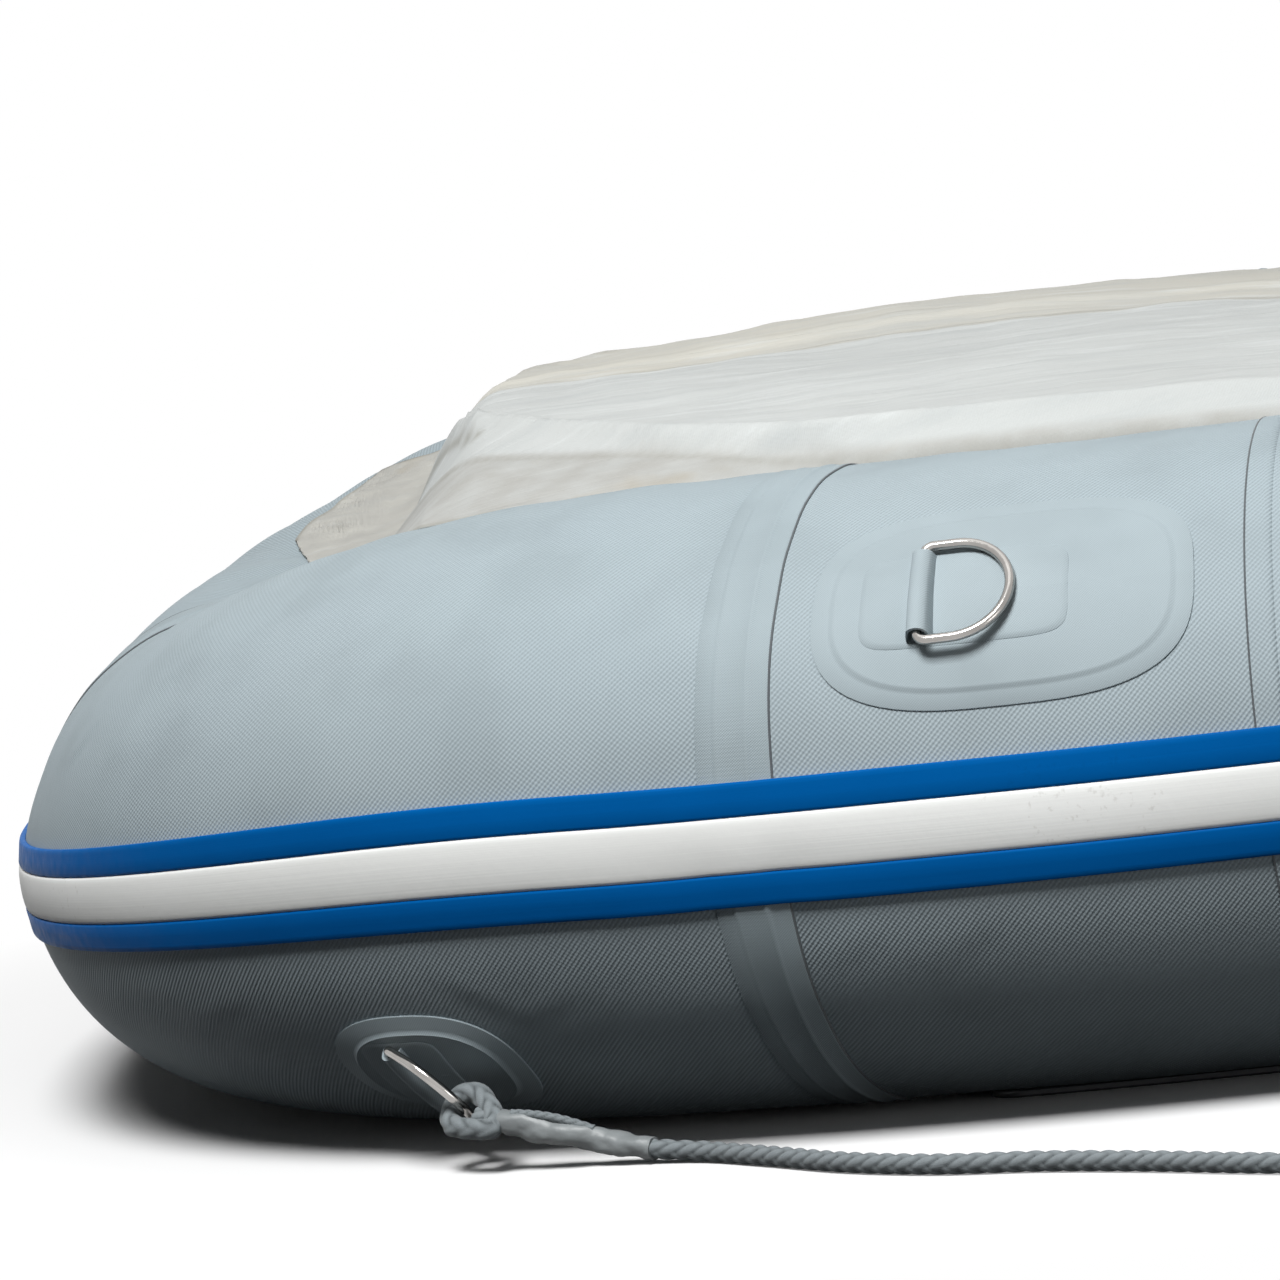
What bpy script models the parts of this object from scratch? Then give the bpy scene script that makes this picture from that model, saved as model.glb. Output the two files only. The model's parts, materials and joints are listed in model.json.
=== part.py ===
"""Inflatable tender with a U-shaped air tube, rubbing strake, D-rings, bow cover, oars and painter.

Metres. +X is forward, +Y is to port and +Z is up. The origin is under the middle of the boat, on the
ground that its wear strips stand on. Distances along the tube's centreline are measured from the nose,
positive to port and negative to starboard. Angles round the tube are measured from the outboard side,
positive upwards, so the crest of the tube is at 90 degrees and the cockpit side is at 180.
"""

import math

import bmesh
import bpy
from mathutils import Matrix, Vector

# Air tube
tube_radius = 0.19
half_beam = 0.57
bow_length = 1.12
bow_fullness = 2.5
nose_taper_share = 0.2
nose_taper_length = 0.32
side_length = 1.02
cone_length = 0.36
cone_tip_radius = 0.055
cone_rise = 0.05
facet_count = 24
station_spacing = 0.2
station_turn = math.radians(11)
cone_station_count = 4

# Fabric layers
seat_gap = 0.0003
tape_thickness = 0.001
baffle_thickness = 0.002
bow_tape_width = 0.05
shoulder_distance = 0.687
shoulder_tape_width = 0.04

# Rubbing strake
strake_width = 0.074
strake_thickness = 0.009
strake_groove_width = 0.034
strake_groove_depth = 0.005
insert_crown = 0.004
strake_end_setback = 0.05

# Wear strips
wear_strip_width = 0.046
wear_strip_thickness = 0.0048
wear_strip_start = 0.75
wear_strip_chamfer = 0.002

# D-rings
ring_rod_radius = 0.003
ring_inner_width = 0.062
ring_inner_depth = 0.048
sleeve_wall = 0.0016
sleeve_clearance = 0.0005
sleeve_base_width = 0.0155
ring_point_count = 18
patch_layer = 0.0012
strap_thickness = 0.0012
strap_margin = 0.004

side_ring_setback = 0.103
side_ring_angle = math.radians(40)
side_patch_length = 0.207
side_patch_width = 0.141
side_patch_border = 0.011
side_patch_shift = 0.043
side_strap_length = 0.115
side_strap_width = 0.064
side_strap_shift = 0.0225

tow_ring_distance = 0.458
tow_ring_angle = math.radians(-45.3)
tow_patch_length = 0.15
tow_patch_width = 0.12
tow_patch_border = 0.012
tow_strap_length = 0.05
tow_strap_width = 0.064
tow_ring_pulled_angle = math.radians(25)

# Bow cover
cover_thickness = 0.002
cover_clearance = 0.0008
cover_rise_over_tube = 0.0022
cover_height = 0.4
cover_crown = 0.013
cover_aft_distance = 1.06
cover_nose_distance = 0.03
cover_tip_hem_angle = math.radians(104)
cover_flap_distance = 0.17
cover_flap_hem_angle = math.radians(112)
cover_crest_distance = 0.38
cover_crest_hem_angle = math.radians(97)
cover_side_distance = 0.62
cover_side_hem_angle = math.radians(125)
cover_slope_start = 0.945
cover_slope_end = 1.06
cover_low_height = 0.29
cover_wall_run = 0.04
cover_lane_count = 14

# Bottom and floor
skin_height = 0.0124
skin_thickness = 0.003
skin_inset = 0.05
floor_thickness = 0.06
floor_inset = 0.1
floor_nose_setback = 0.2
floor_edge_radius = 0.012

# Transom
transom_setback = 0.06
transom_thickness = 0.025
transom_height = 0.385
transom_top_width = 0.66
transom_shoulder_width = 0.84
transom_shoulder_drop = 0.045
transom_edge_clearance = 0.006
holder_lip = 0.008
holder_depth = 0.026
holder_low_angle = math.radians(230)
holder_high_angle = math.radians(128)
motor_pad_width = 0.24
motor_pad_height = 0.2
motor_pad_thickness = 0.006
motor_pad_drop = 0.008
drain_radius = 0.011
drain_offset = 0.22
drain_height = 0.05
plug_flange_radius = 0.017
plug_flange_thickness = 0.004
plug_knob_radius = 0.009
plug_knob_length = 0.012
fit_clearance = 0.0005

# Bench
bench_setback = 0.45
bench_depth = 0.22
bench_thickness = 0.018
bench_end_clearance = 0.0221228
bench_drop = 0.0674745
bench_corner_radius = 0.02
bench_holder_margin = 0.02
bench_holder_thickness = 0.03
bench_holder_low_angle = math.radians(154)
bench_holder_high_angle = math.radians(126)

# Rowlocks and oars
rowlock_setback = 0.14
rowlock_pad_length = 0.14
rowlock_pad_width = 0.1
rowlock_pad_thickness = 0.003
rowlock_boss_radius = 0.023
rowlock_boss_top_radius = 0.018
rowlock_boss_height = 0.03
rowlock_pin_radius = 0.006
rowlock_pin_length = 0.025
fork_disc_radius = 0.017
fork_disc_thickness = 0.006
fork_cheek_thickness = 0.005
fork_cheek_width = 0.026
fork_cross_pin_radius = 0.004
oar_radius = 0.014
oar_inboard_length = 0.4
oar_outboard_length = 0.78
grip_radius = 0.0175
grip_length = 0.13
grip_rib_count = 3
grip_rib_height = 0.0015
blade_length = 0.42
blade_width = 0.165
blade_thickness = 0.005
blade_corner_radius = 0.04
blade_neck_length = 0.07
blade_neck_radius = 0.0185
blade_ridge_length = 0.34
blade_ridge_tip_radius = 0.003
blade_rest_gap = 0.0005

# Valves
valve_flange_radius = 0.028
valve_flange_height = 0.004
valve_barrel_radius = 0.017
valve_bore_radius = 0.0125
valve_depth = 0.028
valve_web_depth = 0.014
valve_web_thickness = 0.003
valve_stem_radius = 0.003
valve_button_radius = 0.006
valve_button_height = 0.004
valve_button_drop = 0.003
valve_seal_radius = 0.0095
valve_seal_thickness = 0.002
valve_seal_gap = 0.0006
valve_cap_radius = 0.022
valve_cap_height = 0.012
valve_cap_wall = 0.003
valve_cap_sides = 12
valve_angle = math.radians(140)
side_valve_setback = 0.71890712
bow_valve_distance = 0.6

# Painter
rope_radius = 0.006
eye_radius = 0.0105
eye_rope_radius = 0.0052
eye_pull = 0.0016
splice_radius = 0.0078
rope_segment = 0.03
coil_turns = 2.5
coil_points_per_turn = 24
coil_outer_radius = 0.084
coil_pitch = 0.0134
coil_layer_rise = 0.0132

# Materials: colour, roughness, metallic
finishes = {
    "tube_fabric": ((0.46, 0.53, 0.56), 0.55, 0.0),
    "tape_fabric": ((0.44, 0.51, 0.54), 0.5, 0.0),
    "strake_blue": ((0.01, 0.11, 0.42), 0.4, 0.0),
    "strake_white": ((0.72, 0.73, 0.7), 0.45, 0.0),
    "steel": ((0.62, 0.6, 0.57), 0.2, 1.0),
    "cover_cloth": ((0.66, 0.66, 0.62), 0.8, 0.0),
    "floor_fabric": ((0.3, 0.33, 0.35), 0.6, 0.0),
    "board": ((0.5, 0.52, 0.53), 0.5, 0.0),
    "rubber": ((0.05, 0.05, 0.055), 0.6, 0.0),
    "grey_plastic": ((0.33, 0.36, 0.37), 0.45, 0.0),
    "black_plastic": ((0.03, 0.03, 0.03), 0.4, 0.0),
    "aluminium": ((0.6, 0.61, 0.62), 0.35, 1.0),
    "rope": ((0.4, 0.43, 0.44), 0.8, 0.0),
}

facet_turn = 2 * math.pi / facet_count
flat_share = math.cos(facet_turn / 2)
tape_top = seat_gap + tape_thickness
over_tape = tape_top + seat_gap
ground_lift = wear_strip_thickness + seat_gap
strake_reach = over_tape + strake_thickness + insert_crown
nose_reach = bow_length + (tube_radius * (1 - nose_taper_share) + strake_reach) * flat_share
stern_reach = side_length + cone_length
bow_x = (stern_reach - nose_reach) / 2
rope_height = rope_radius + seat_gap

for old in list(bpy.data.objects):
    bpy.data.objects.remove(old)

parts = bpy.data.collections.new("inflatable_tender")
cutters = bpy.data.collections.new("cutters")
bpy.context.scene.collection.children.link(parts)
bpy.context.scene.collection.children.link(cutters)


def finish(name):
    """The material of one finish, made the first time it is asked for."""
    if name in bpy.data.materials:
        return bpy.data.materials[name]
    colour, roughness, metallic = finishes[name]
    made = bpy.data.materials.new(name)
    made.use_nodes = True
    shader = made.node_tree.nodes["Principled BSDF"]
    shader.inputs["Base Color"].default_value = (*colour, 1)
    shader.inputs["Roughness"].default_value = roughness
    shader.inputs["Metallic"].default_value = metallic
    made.diffuse_color = (*colour, 1)
    return made


# Route of the tube's centreline


def bow_point(turn):
    """A point of the superelliptic bow in plan, from the nose at 0 to the straight side at a quarter turn."""
    power = 2 / bow_fullness
    return (
        bow_x + bow_length * max(math.cos(turn), 0) ** power,
        half_beam * math.sin(turn) ** power,
    )


def bow_table(step_count=600):
    """Turn and distance along the bow, in even steps of turn."""
    table = [(0.0, 0.0)]
    before = bow_point(0)
    for step in range(1, step_count + 1):
        turn = math.pi / 2 * step / step_count
        here = bow_point(turn)
        table.append((turn, table[-1][1] + math.dist(before, here)))
        before = here
    return table


bow_steps = bow_table()
bow_run = bow_steps[-1][1]
transom_distance = bow_run + side_length - transom_setback
side_ring_distance = shoulder_distance + side_ring_setback
side_valve_distance = bow_run + side_valve_setback
cone_distance = bow_run + side_length
stern_distance = cone_distance + cone_length


def turn_at(distance):
    """The bow's turn at a distance from the nose."""
    low, high = 0, len(bow_steps) - 1
    while high - low > 1:
        middle = (low + high) // 2
        if bow_steps[middle][1] <= distance:
            low = middle
        else:
            high = middle
    (turn_a, at_a), (turn_b, at_b) = bow_steps[low], bow_steps[high]
    return turn_a + (turn_b - turn_a) * (distance - at_a) / (at_b - at_a)


def nose_narrowing(x):
    """How much of the tube's radius the nose loses at this place, as a share."""
    into_nose = max(0, x - (bow_x + bow_length - nose_taper_length)) / nose_taper_length
    return nose_taper_share * into_nose**2


def station(distance):
    """Centre, outboard direction and radius of the tube at a signed distance from the nose."""
    side = -1 if distance < 0 else 1
    along = abs(distance)
    lift = 0
    if along < bow_run:
        turn = turn_at(along)
        x, y = bow_point(turn)
        power = 2 - 2 / bow_fullness
        heading = Vector((-bow_length * math.sin(turn) ** power, half_beam * math.cos(turn) ** power, 0))
        heading.normalize()
        radius = tube_radius * (1 - nose_narrowing(x))
    else:
        x, y = bow_x - (along - bow_run), half_beam
        heading = Vector((-1, 0, 0))
        radius = tube_radius
        into_cone = max(0, along - cone_distance) / cone_length
        radius -= (tube_radius - cone_tip_radius) * into_cone**1.7
        lift = tube_radius * flat_share - radius * flat_share + cone_rise * into_cone**1.7 - (
            tube_radius - radius
        ) * 0.6
    centre = Vector((x, side * y, ground_lift + radius * flat_share + max(lift, 0)))
    outboard = Vector((heading.y, -side * heading.x, 0))
    return centre, outboard, radius


def stops_between(start, end):
    """The tube's stations from start to end. Everything that lies on the tube uses the same ones."""
    marks = {0.0, bow_run, transom_distance, cone_distance, stern_distance}
    marks |= {bow_tape_width / 2, cover_aft_distance, wear_strip_start}
    marks |= {shoulder_distance - shoulder_tape_width / 2, shoulder_distance + shoulder_tape_width / 2}
    marks |= {shoulder_distance - seat_gap - baffle_thickness / 2}
    marks |= {shoulder_distance + seat_gap + baffle_thickness / 2}
    fixed = sorted(marks)
    found = []
    for low, high in zip(fixed, fixed[1:]):
        piece_count = 1
        if high <= bow_run:
            turning = station(low)[1].angle(station(high)[1])
            piece_count = math.ceil(max(turning / station_turn, (high - low) / station_spacing))
        elif low >= cone_distance:
            piece_count = cone_station_count
        found += [low + (high - low) * step / piece_count for step in range(piece_count)]
    found.append(fixed[-1])
    signed = sorted({-at for at in found} | set(found))
    return [start] + [at for at in signed if start + seat_gap < at < end - seat_gap] + [end]


def skin_spot(distance, angle, height):
    """A point at this height over the tube's faceted skin at one station."""
    centre, outboard, radius = station(distance)
    off_middle = (angle + facet_turn / 2) % facet_turn - facet_turn / 2
    reach = (radius + height) * flat_share / math.cos(off_middle)
    return centre + reach * (math.cos(angle) * outboard + math.sin(angle) * Vector((0, 0, 1)))


def spot(distance, angle, height):
    """A point over the tube's faceted skin, also between two stations."""
    stops = stops_between(-stern_distance, stern_distance)
    after = next(at for at in stops if at >= distance)
    before = max(at for at in stops if at <= distance)
    if after == before:
        return skin_spot(distance, angle, height)
    share = (distance - before) / (after - before)
    return skin_spot(before, angle, height).lerp(skin_spot(after, angle, height), share)


def seat_matrix(distance, angle, height):
    """Axes of a seat on the tube: X aft along it, Z out of its skin."""
    step = station_spacing / 20
    here = spot(distance, angle, height)
    aft = 1 if distance > 0 else -1
    along = aft * (spot(distance + step, angle, height) - spot(distance - step, angle, height))
    across = spot(distance, angle + facet_turn / 20, height) - spot(distance, angle - facet_turn / 20, height)
    x_axis = along.normalized()
    z_axis = x_axis.cross(across).normalized()
    if z_axis.dot(here - station(distance)[0]) < 0:
        z_axis = -z_axis
    y_axis = z_axis.cross(x_axis)
    axes = Matrix((x_axis, y_axis, z_axis)).transposed().to_4x4()
    return Matrix.Translation(here) @ axes


bow_centres = [station(bow_run * step / 100) for step in range(101)]


# Building blocks


def add_object(name, data, material_name, collection=parts):
    made = bpy.data.objects.new(name, data)
    collection.objects.link(made)
    if collection is cutters:
        made.hide_render = True
        made.display_type = "WIRE"
    if material_name:
        data.materials.append(finish(material_name))
    return made


def mesh_object(name, shape, material_name, collection=parts, smooth_angle=math.radians(30)):
    """A mesh object from a bmesh, with its faces turned outwards."""
    bmesh.ops.recalc_face_normals(shape, faces=shape.faces)
    data = bpy.data.meshes.new(name)
    shape.to_mesh(data)
    shape.free()
    data.shade_smooth()
    data.set_sharp_from_angle(angle=smooth_angle)
    return add_object(name, data, material_name, collection)


def loft(name, sections, material_name, collection=parts):
    """A closed body through sections that are loops with the same number of points."""
    shape = bmesh.new()
    rings = [[shape.verts.new(point) for point in section] for section in sections]
    for ring_a, ring_b in zip(rings, rings[1:]):
        for index in range(len(ring_a)):
            following = (index + 1) % len(ring_a)
            shape.faces.new((ring_a[index], ring_a[following], ring_b[following], ring_b[index]))
    shape.faces.new(rings[0])
    shape.faces.new(rings[-1])
    return mesh_object(name, shape, material_name, collection)


def band_round_tube(name, start, end, low, high, material_name):
    """A band right round the tube, between two heights over its skin."""
    shape = bmesh.new()
    angles = [facet_turn * (index + 0.5) for index in range(facet_count)]
    shells = []
    for height in (low, high):
        rows = []
        for at in stops_between(start, end):
            rows.append([shape.verts.new(skin_spot(at, angle, height)) for angle in angles])
        shells.append(rows)
        for row_a, row_b in zip(rows, rows[1:]):
            for index in range(facet_count):
                following = (index + 1) % facet_count
                shape.faces.new((row_a[index], row_a[following], row_b[following], row_b[index]))
    inner, outer = shells
    for end_row in (0, -1):
        for index in range(facet_count):
            following = (index + 1) % facet_count
            shape.faces.new(
                (
                    inner[end_row][index],
                    inner[end_row][following],
                    outer[end_row][following],
                    outer[end_row][index],
                )
            )
    return mesh_object(name, shape, material_name)


def tube_length(name, start, end, material_name, height=0.0, collection=parts):
    """A length of the tube as a closed body, or of a fatter tube as a cutter."""
    angles = [facet_turn * (index + 0.5) for index in range(facet_count)]
    sections = [[skin_spot(at, angle, height) for angle in angles] for at in stops_between(start, end)]
    return loft(name, sections, material_name, collection)


def skin_angles(low, high):
    """Angles from low to high, with every corner of the tube's facets between them."""
    first = math.ceil(low / facet_turn - 0.5) + 0.5
    corners = []
    while first * facet_turn < high:
        if first * facet_turn > low:
            corners.append(first * facet_turn)
        first += 1
    return [low] + corners + [high]


def layer_on_tube(name, start, end, low_angle, high_angle, low, high, material_name, collection=parts):
    """A layer that follows the tube's skin between two heights."""
    angles = skin_angles(low_angle, high_angle)
    sections = []
    for at in stops_between(start, end):
        under = [skin_spot(at, angle, low) for angle in angles]
        over = [skin_spot(at, angle, high) for angle in reversed(angles)]
        sections.append(under + over)
    return loft(name, sections, material_name, collection)


def prism(name, outline, low, high, matrix, material_name=None, collection=cutters):
    """An outline in the XY plane of a matrix, pulled from low to high."""
    shape = bmesh.new()
    lower = [shape.verts.new(matrix @ Vector((x, y, low))) for x, y in outline]
    upper = [shape.verts.new(matrix @ Vector((x, y, high))) for x, y in outline]
    for index in range(len(outline)):
        following = (index + 1) % len(outline)
        shape.faces.new((lower[index], lower[following], upper[following], upper[index]))
    shape.faces.new(lower)
    shape.faces.new(upper)
    return mesh_object(name, shape, material_name, collection)


def oval(length, width, centre_x=0.0, fullness=2.6, point_count=24):
    """The outline of a patch: an ellipse with fuller corners."""
    outline = []
    for index in range(point_count):
        turn = 2 * math.pi * index / point_count
        cosine, sine = math.cos(turn), math.sin(turn)
        x = length / 2 * math.copysign(abs(cosine) ** (2 / fullness), cosine)
        y = width / 2 * math.copysign(abs(sine) ** (2 / fullness), sine)
        outline.append((centre_x + x, y))
    return outline


def rounded_rectangle(length, width, radius, centre=(0.0, 0.0), corner_steps=3):
    """A rectangle with round corners, centred on a point."""
    outline = []
    for corner, (sign_x, sign_y) in enumerate(((1, 1), (-1, 1), (-1, -1), (1, -1))):
        for step in range(corner_steps + 1):
            turn = math.pi / 2 * (corner + step / corner_steps)
            x = centre[0] + sign_x * (length / 2 - radius) + radius * math.cos(turn)
            y = centre[1] + sign_y * (width / 2 - radius) + radius * math.sin(turn)
            outline.append((x, y))
    return outline


def boolean(target, other, operation):
    modifier = target.modifiers.new(f"{operation} {other.name}".lower(), "BOOLEAN")
    modifier.operation = operation
    modifier.object = other
    return target


def join(target, other):
    return boolean(target, other, "UNION")


def cut(target, other):
    return boolean(target, other, "DIFFERENCE")


def keep_common(target, other):
    return boolean(target, other, "INTERSECT")


def cylinder(name, radius, low, high, matrix, material_name=None, collection=cutters, sides=16, top_radius=None):
    """A cylinder or cone along the Z of a matrix."""
    shape = bmesh.new()
    bmesh.ops.create_cone(
        shape,
        cap_ends=True,
        segments=sides,
        radius1=radius,
        radius2=radius if top_radius is None else top_radius,
        depth=high - low,
        matrix=matrix @ Matrix.Translation((0, 0, (low + high) / 2)),
    )
    return mesh_object(name, shape, material_name, collection)


def block(name, size, matrix, material_name=None, collection=cutters, bevel=0.0):
    """A box centred on a matrix, with rounded edges if a bevel is given."""
    shape = bmesh.new()
    bmesh.ops.create_cube(shape, size=1, matrix=Matrix.Diagonal((*size, 1)))
    made = mesh_object(name, shape, material_name, collection)
    made.matrix_world = matrix
    if bevel:
        rounding = made.modifiers.new("rounded edges", "BEVEL")
        rounding.width = bevel
        rounding.segments = 2
    return made


def turned(name, profile, matrix, material_name, collection=parts, steps=16):
    """A turned piece: a profile of radius and height, run down its outer side, spun round Z."""
    data = bpy.data.meshes.new(name)
    points = [(radius, 0, height) for radius, height in profile]
    edges = [(index, index + 1) for index in range(len(points) - 1)]
    if profile[0][0] > 0 or profile[-1][0] > 0:
        edges.append((len(points) - 1, 0))
    data.from_pydata(points, edges, [])
    made = add_object(name, data, material_name, collection)
    made.matrix_world = matrix
    spin = made.modifiers.new("spin", "SCREW")
    spin.steps = steps
    spin.render_steps = steps
    spin.use_merge_vertices = True
    spin.merge_threshold = 0.0001
    return made


def cord_curve(name, points, radius, resolution, material_name, closed=False, collection=parts):
    """A cord or rod along points."""
    data = bpy.data.curves.new(name, "CURVE")
    data.dimensions = "3D"
    data.bevel_depth = radius
    data.bevel_resolution = resolution
    data.use_fill_caps = not closed
    line = data.splines.new("POLY")
    line.points.add(len(points) - 1)
    for point, place in zip(line.points, points):
        point.co = (*place, 1)
    line.use_cyclic_u = closed
    line.use_smooth = True
    return add_object(name, data, material_name, collection)


def as_mesh(curve_object, material_name):
    """The curve as a mesh with welded caps, so that it can be joined."""
    bpy.context.view_layer.update()
    graph = bpy.context.evaluated_depsgraph_get()
    data = bpy.data.meshes.new_from_object(curve_object.evaluated_get(graph))
    name, place = curve_object.name, curve_object.matrix_world.copy()
    collection = cutters if curve_object.hide_render else parts
    bpy.data.objects.remove(curve_object)
    shape = bmesh.new()
    shape.from_mesh(data)
    bmesh.ops.remove_doubles(shape, verts=shape.verts, dist=seat_gap / 10)
    bmesh.ops.recalc_face_normals(shape, faces=shape.faces)
    data.clear_geometry()
    shape.to_mesh(data)
    shape.free()
    data.materials.clear()
    made = add_object(name, data, material_name, collection)
    made.matrix_world = place
    return made


sides = (("port", 1), ("starboard", -1))


def sided(side, start, end):
    """A range of distances on one side, low end first."""
    return (start, end) if side > 0 else (-end, -start)


# Tube, seams and strake


def make_tube():
    for side_name, side in sides:
        bow_end = shoulder_distance - seat_gap - baffle_thickness / 2
        side_start = shoulder_distance + seat_gap + baffle_thickness / 2
        half_gap = seat_gap / 2
        tube_length(f"bow_tube_{side_name}", *sided(side, half_gap, bow_end), "tube_fabric")
        tube_length(f"side_tube_{side_name}", *sided(side, side_start, cone_distance - half_gap), "tube_fabric")
        tube_length(
            f"stern_cone_{side_name}", *sided(side, cone_distance + half_gap, stern_distance), "tube_fabric"
        )
        baffle = sided(
            side, shoulder_distance - baffle_thickness / 2, shoulder_distance + baffle_thickness / 2
        )
        tube_length(f"baffle_{side_name}", *baffle, "tape_fabric")
        tape = sided(
            side, shoulder_distance - shoulder_tape_width / 2, shoulder_distance + shoulder_tape_width / 2
        )
        band_round_tube(f"shoulder_tape_{side_name}", *tape, seat_gap, tape_top, "tape_fabric")
    band_round_tube("bow_seam_tape", -bow_tape_width / 2, bow_tape_width / 2, seat_gap, tape_top, "tape_fabric")


def strake_section(at, outline):
    """Points of the strake's profile at one station, each an angle and a height over the skin."""
    return [skin_spot(at, angle, height) for angle, height in outline]


def make_strake():
    half = strake_width / 2 / tube_radius
    groove = strake_groove_width / 2 / tube_radius
    edge = half * 0.9
    inner_corners = skin_angles(-half, half)
    top = over_tape + strake_thickness
    floor = top - strake_groove_depth
    base = [(angle, over_tape) for angle in inner_corners]
    base += [(half, over_tape + strake_thickness * 0.55), (edge, top), (groove, top)]
    base += [(angle, floor) for angle in reversed(skin_angles(-groove, groove))]
    base += [(-groove, top), (-edge, top), (-half, over_tape + strake_thickness * 0.55)]
    side_gap = seat_gap / tube_radius * 1.5
    slack = groove - side_gap
    insert = [(angle, floor + seat_gap) for angle in skin_angles(-slack, slack)]
    insert += [(slack, top), (slack * 0.6, top + insert_crown * 0.75), (0, top + insert_crown)]
    insert += [(-slack * 0.6, top + insert_crown * 0.75), (-slack, top)]
    end = cone_distance - strake_end_setback
    for name, outline, material_name in (
        ("strake_base", base, "strake_blue"),
        ("strake_insert", insert, "strake_white"),
    ):
        sections = [strake_section(at, outline) for at in stops_between(-end, end)]
        loft(name, sections, material_name)


def make_wear_strips():
    """Flat strips that the boat stands on, under each side tube."""
    half = wear_strip_width / 2
    for side_name, side in sides:
        sections = []
        for at in stops_between(*sided(side, wear_strip_start, cone_distance)):
            centre, outboard, radius = station(at)
            roof = wear_strip_thickness
            profile = [
                (-half, roof),
                (half, roof),
                (half, wear_strip_chamfer),
                (half - wear_strip_chamfer, 0),
                (wear_strip_chamfer - half, 0),
                (-half, wear_strip_chamfer),
            ]
            sections.append(
                [Vector((centre.x, centre.y, 0)) + across * outboard + Vector((0, 0, up)) for across, up in profile]
            )
        loft(f"wear_strip_{side_name}", sections, "rubber")


# D-rings


def patch_on_tube(name, distance, angle, length, width, border, shift, material_name):
    """A glued patch of two layers: a thin oval with a smaller raised oval on it."""
    side = 1 if distance > 0 else -1
    middle = distance + side * shift
    place = seat_matrix(middle, angle, 0)
    room = max(length, width)
    half_turn = width * 0.75 / tube_radius
    low, high = sorted((middle - room * 0.6, middle + room * 0.6))
    layers = (
        (name, length, width, seat_gap, seat_gap + patch_layer),
        (f"{name}_top", length - 2 * border, width - 2 * border, seat_gap + patch_layer / 2, seat_gap + 2 * patch_layer),
    )
    made = []
    for layer_name, layer_length, layer_width, under, over in layers:
        collection = cutters if made else parts
        layer = layer_on_tube(
            layer_name, low, high, angle - half_turn, angle + half_turn, under, over, material_name, collection
        )
        shape = prism(f"{layer_name}_outline", oval(layer_length, layer_width), -room / 2, room / 2, place)
        keep_common(layer, shape)
        made.append(layer)
    join(made[0], made[1])
    return made[0]


def ring_place(distance, angle):
    """Axes at the middle of a ring's bar, in its sleeve."""
    height = seat_gap * 2 + 2 * patch_layer + sleeve_wall + sleeve_clearance + ring_rod_radius
    return seat_matrix(distance, angle, height)


def make_strap(name, distance, angle, length, width, shift, material_name):
    """A strap glued to its patch, with the sleeve that holds the ring's bar."""
    side = 1 if distance > 0 else -1
    under = 2 * seat_gap + 2 * patch_layer
    low, high = sorted((distance - length, distance + length + abs(shift)))
    half_turn = width * 0.8 / tube_radius
    strap = layer_on_tube(
        name, low, high, angle - half_turn, angle + half_turn, under, under + strap_thickness, material_name
    )
    place = seat_matrix(distance + side * shift, angle, 0)
    shape = prism(f"{name}_outline", rounded_rectangle(length, width, width / 5), -width, width, place)
    keep_common(strap, shape)
    bar = ring_place(distance, angle)
    along_bar = bar @ Matrix.Rotation(math.pi / 2, 4, "X")
    half_sleeve = ring_inner_width / 2 - strap_margin / 2
    sleeve_radius = ring_rod_radius + sleeve_clearance + sleeve_wall
    join(strap, cylinder(f"{name}_sleeve", sleeve_radius, -half_sleeve, half_sleeve, along_bar, sides=12))
    web_height = sleeve_radius - strap_thickness / 2
    web = block(
        f"{name}_web",
        (sleeve_base_width, half_sleeve * 2 - strap_margin, web_height),
        bar @ Matrix.Translation((0, 0, -web_height / 2)),
    )
    join(strap, web)
    bore = ring_rod_radius + sleeve_clearance
    cut(strap, cylinder(f"{name}_bore", bore, -width, width, along_bar, sides=12))
    return strap


def ring_route():
    """A D in the XY plane: the bar along Y through the origin, the bow towards +X."""
    half = ring_inner_width / 2 + ring_rod_radius
    depth = ring_inner_depth + 2 * ring_rod_radius
    corner = ring_rod_radius * 1.5
    straight = depth - half
    arc_count = ring_point_count - 8
    points = [(0, -half + corner), (0, half - corner)]
    points.append((corner * 0.3, half - corner * 0.3))
    points.append((corner, half))
    for step in range(arc_count + 1):
        turn = math.pi * step / arc_count
        points.append((max(straight, corner * 1.5) + half * math.sin(turn), half * math.cos(turn)))
    points.append((corner, -half))
    points.append((corner * 0.3, -half + corner * 0.3))
    return [Vector((x, y, 0)) for x, y in points]


def make_ring(name, distance, angle, lift_angle):
    """A stainless D-ring, swung up from the skin by an angle."""
    ring = cord_curve(name, ring_route(), ring_rod_radius, 2, "steel", closed=True)
    ring.matrix_world = ring_place(distance, angle) @ Matrix.Rotation(-lift_angle, 4, "Y")
    return ring


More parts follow.
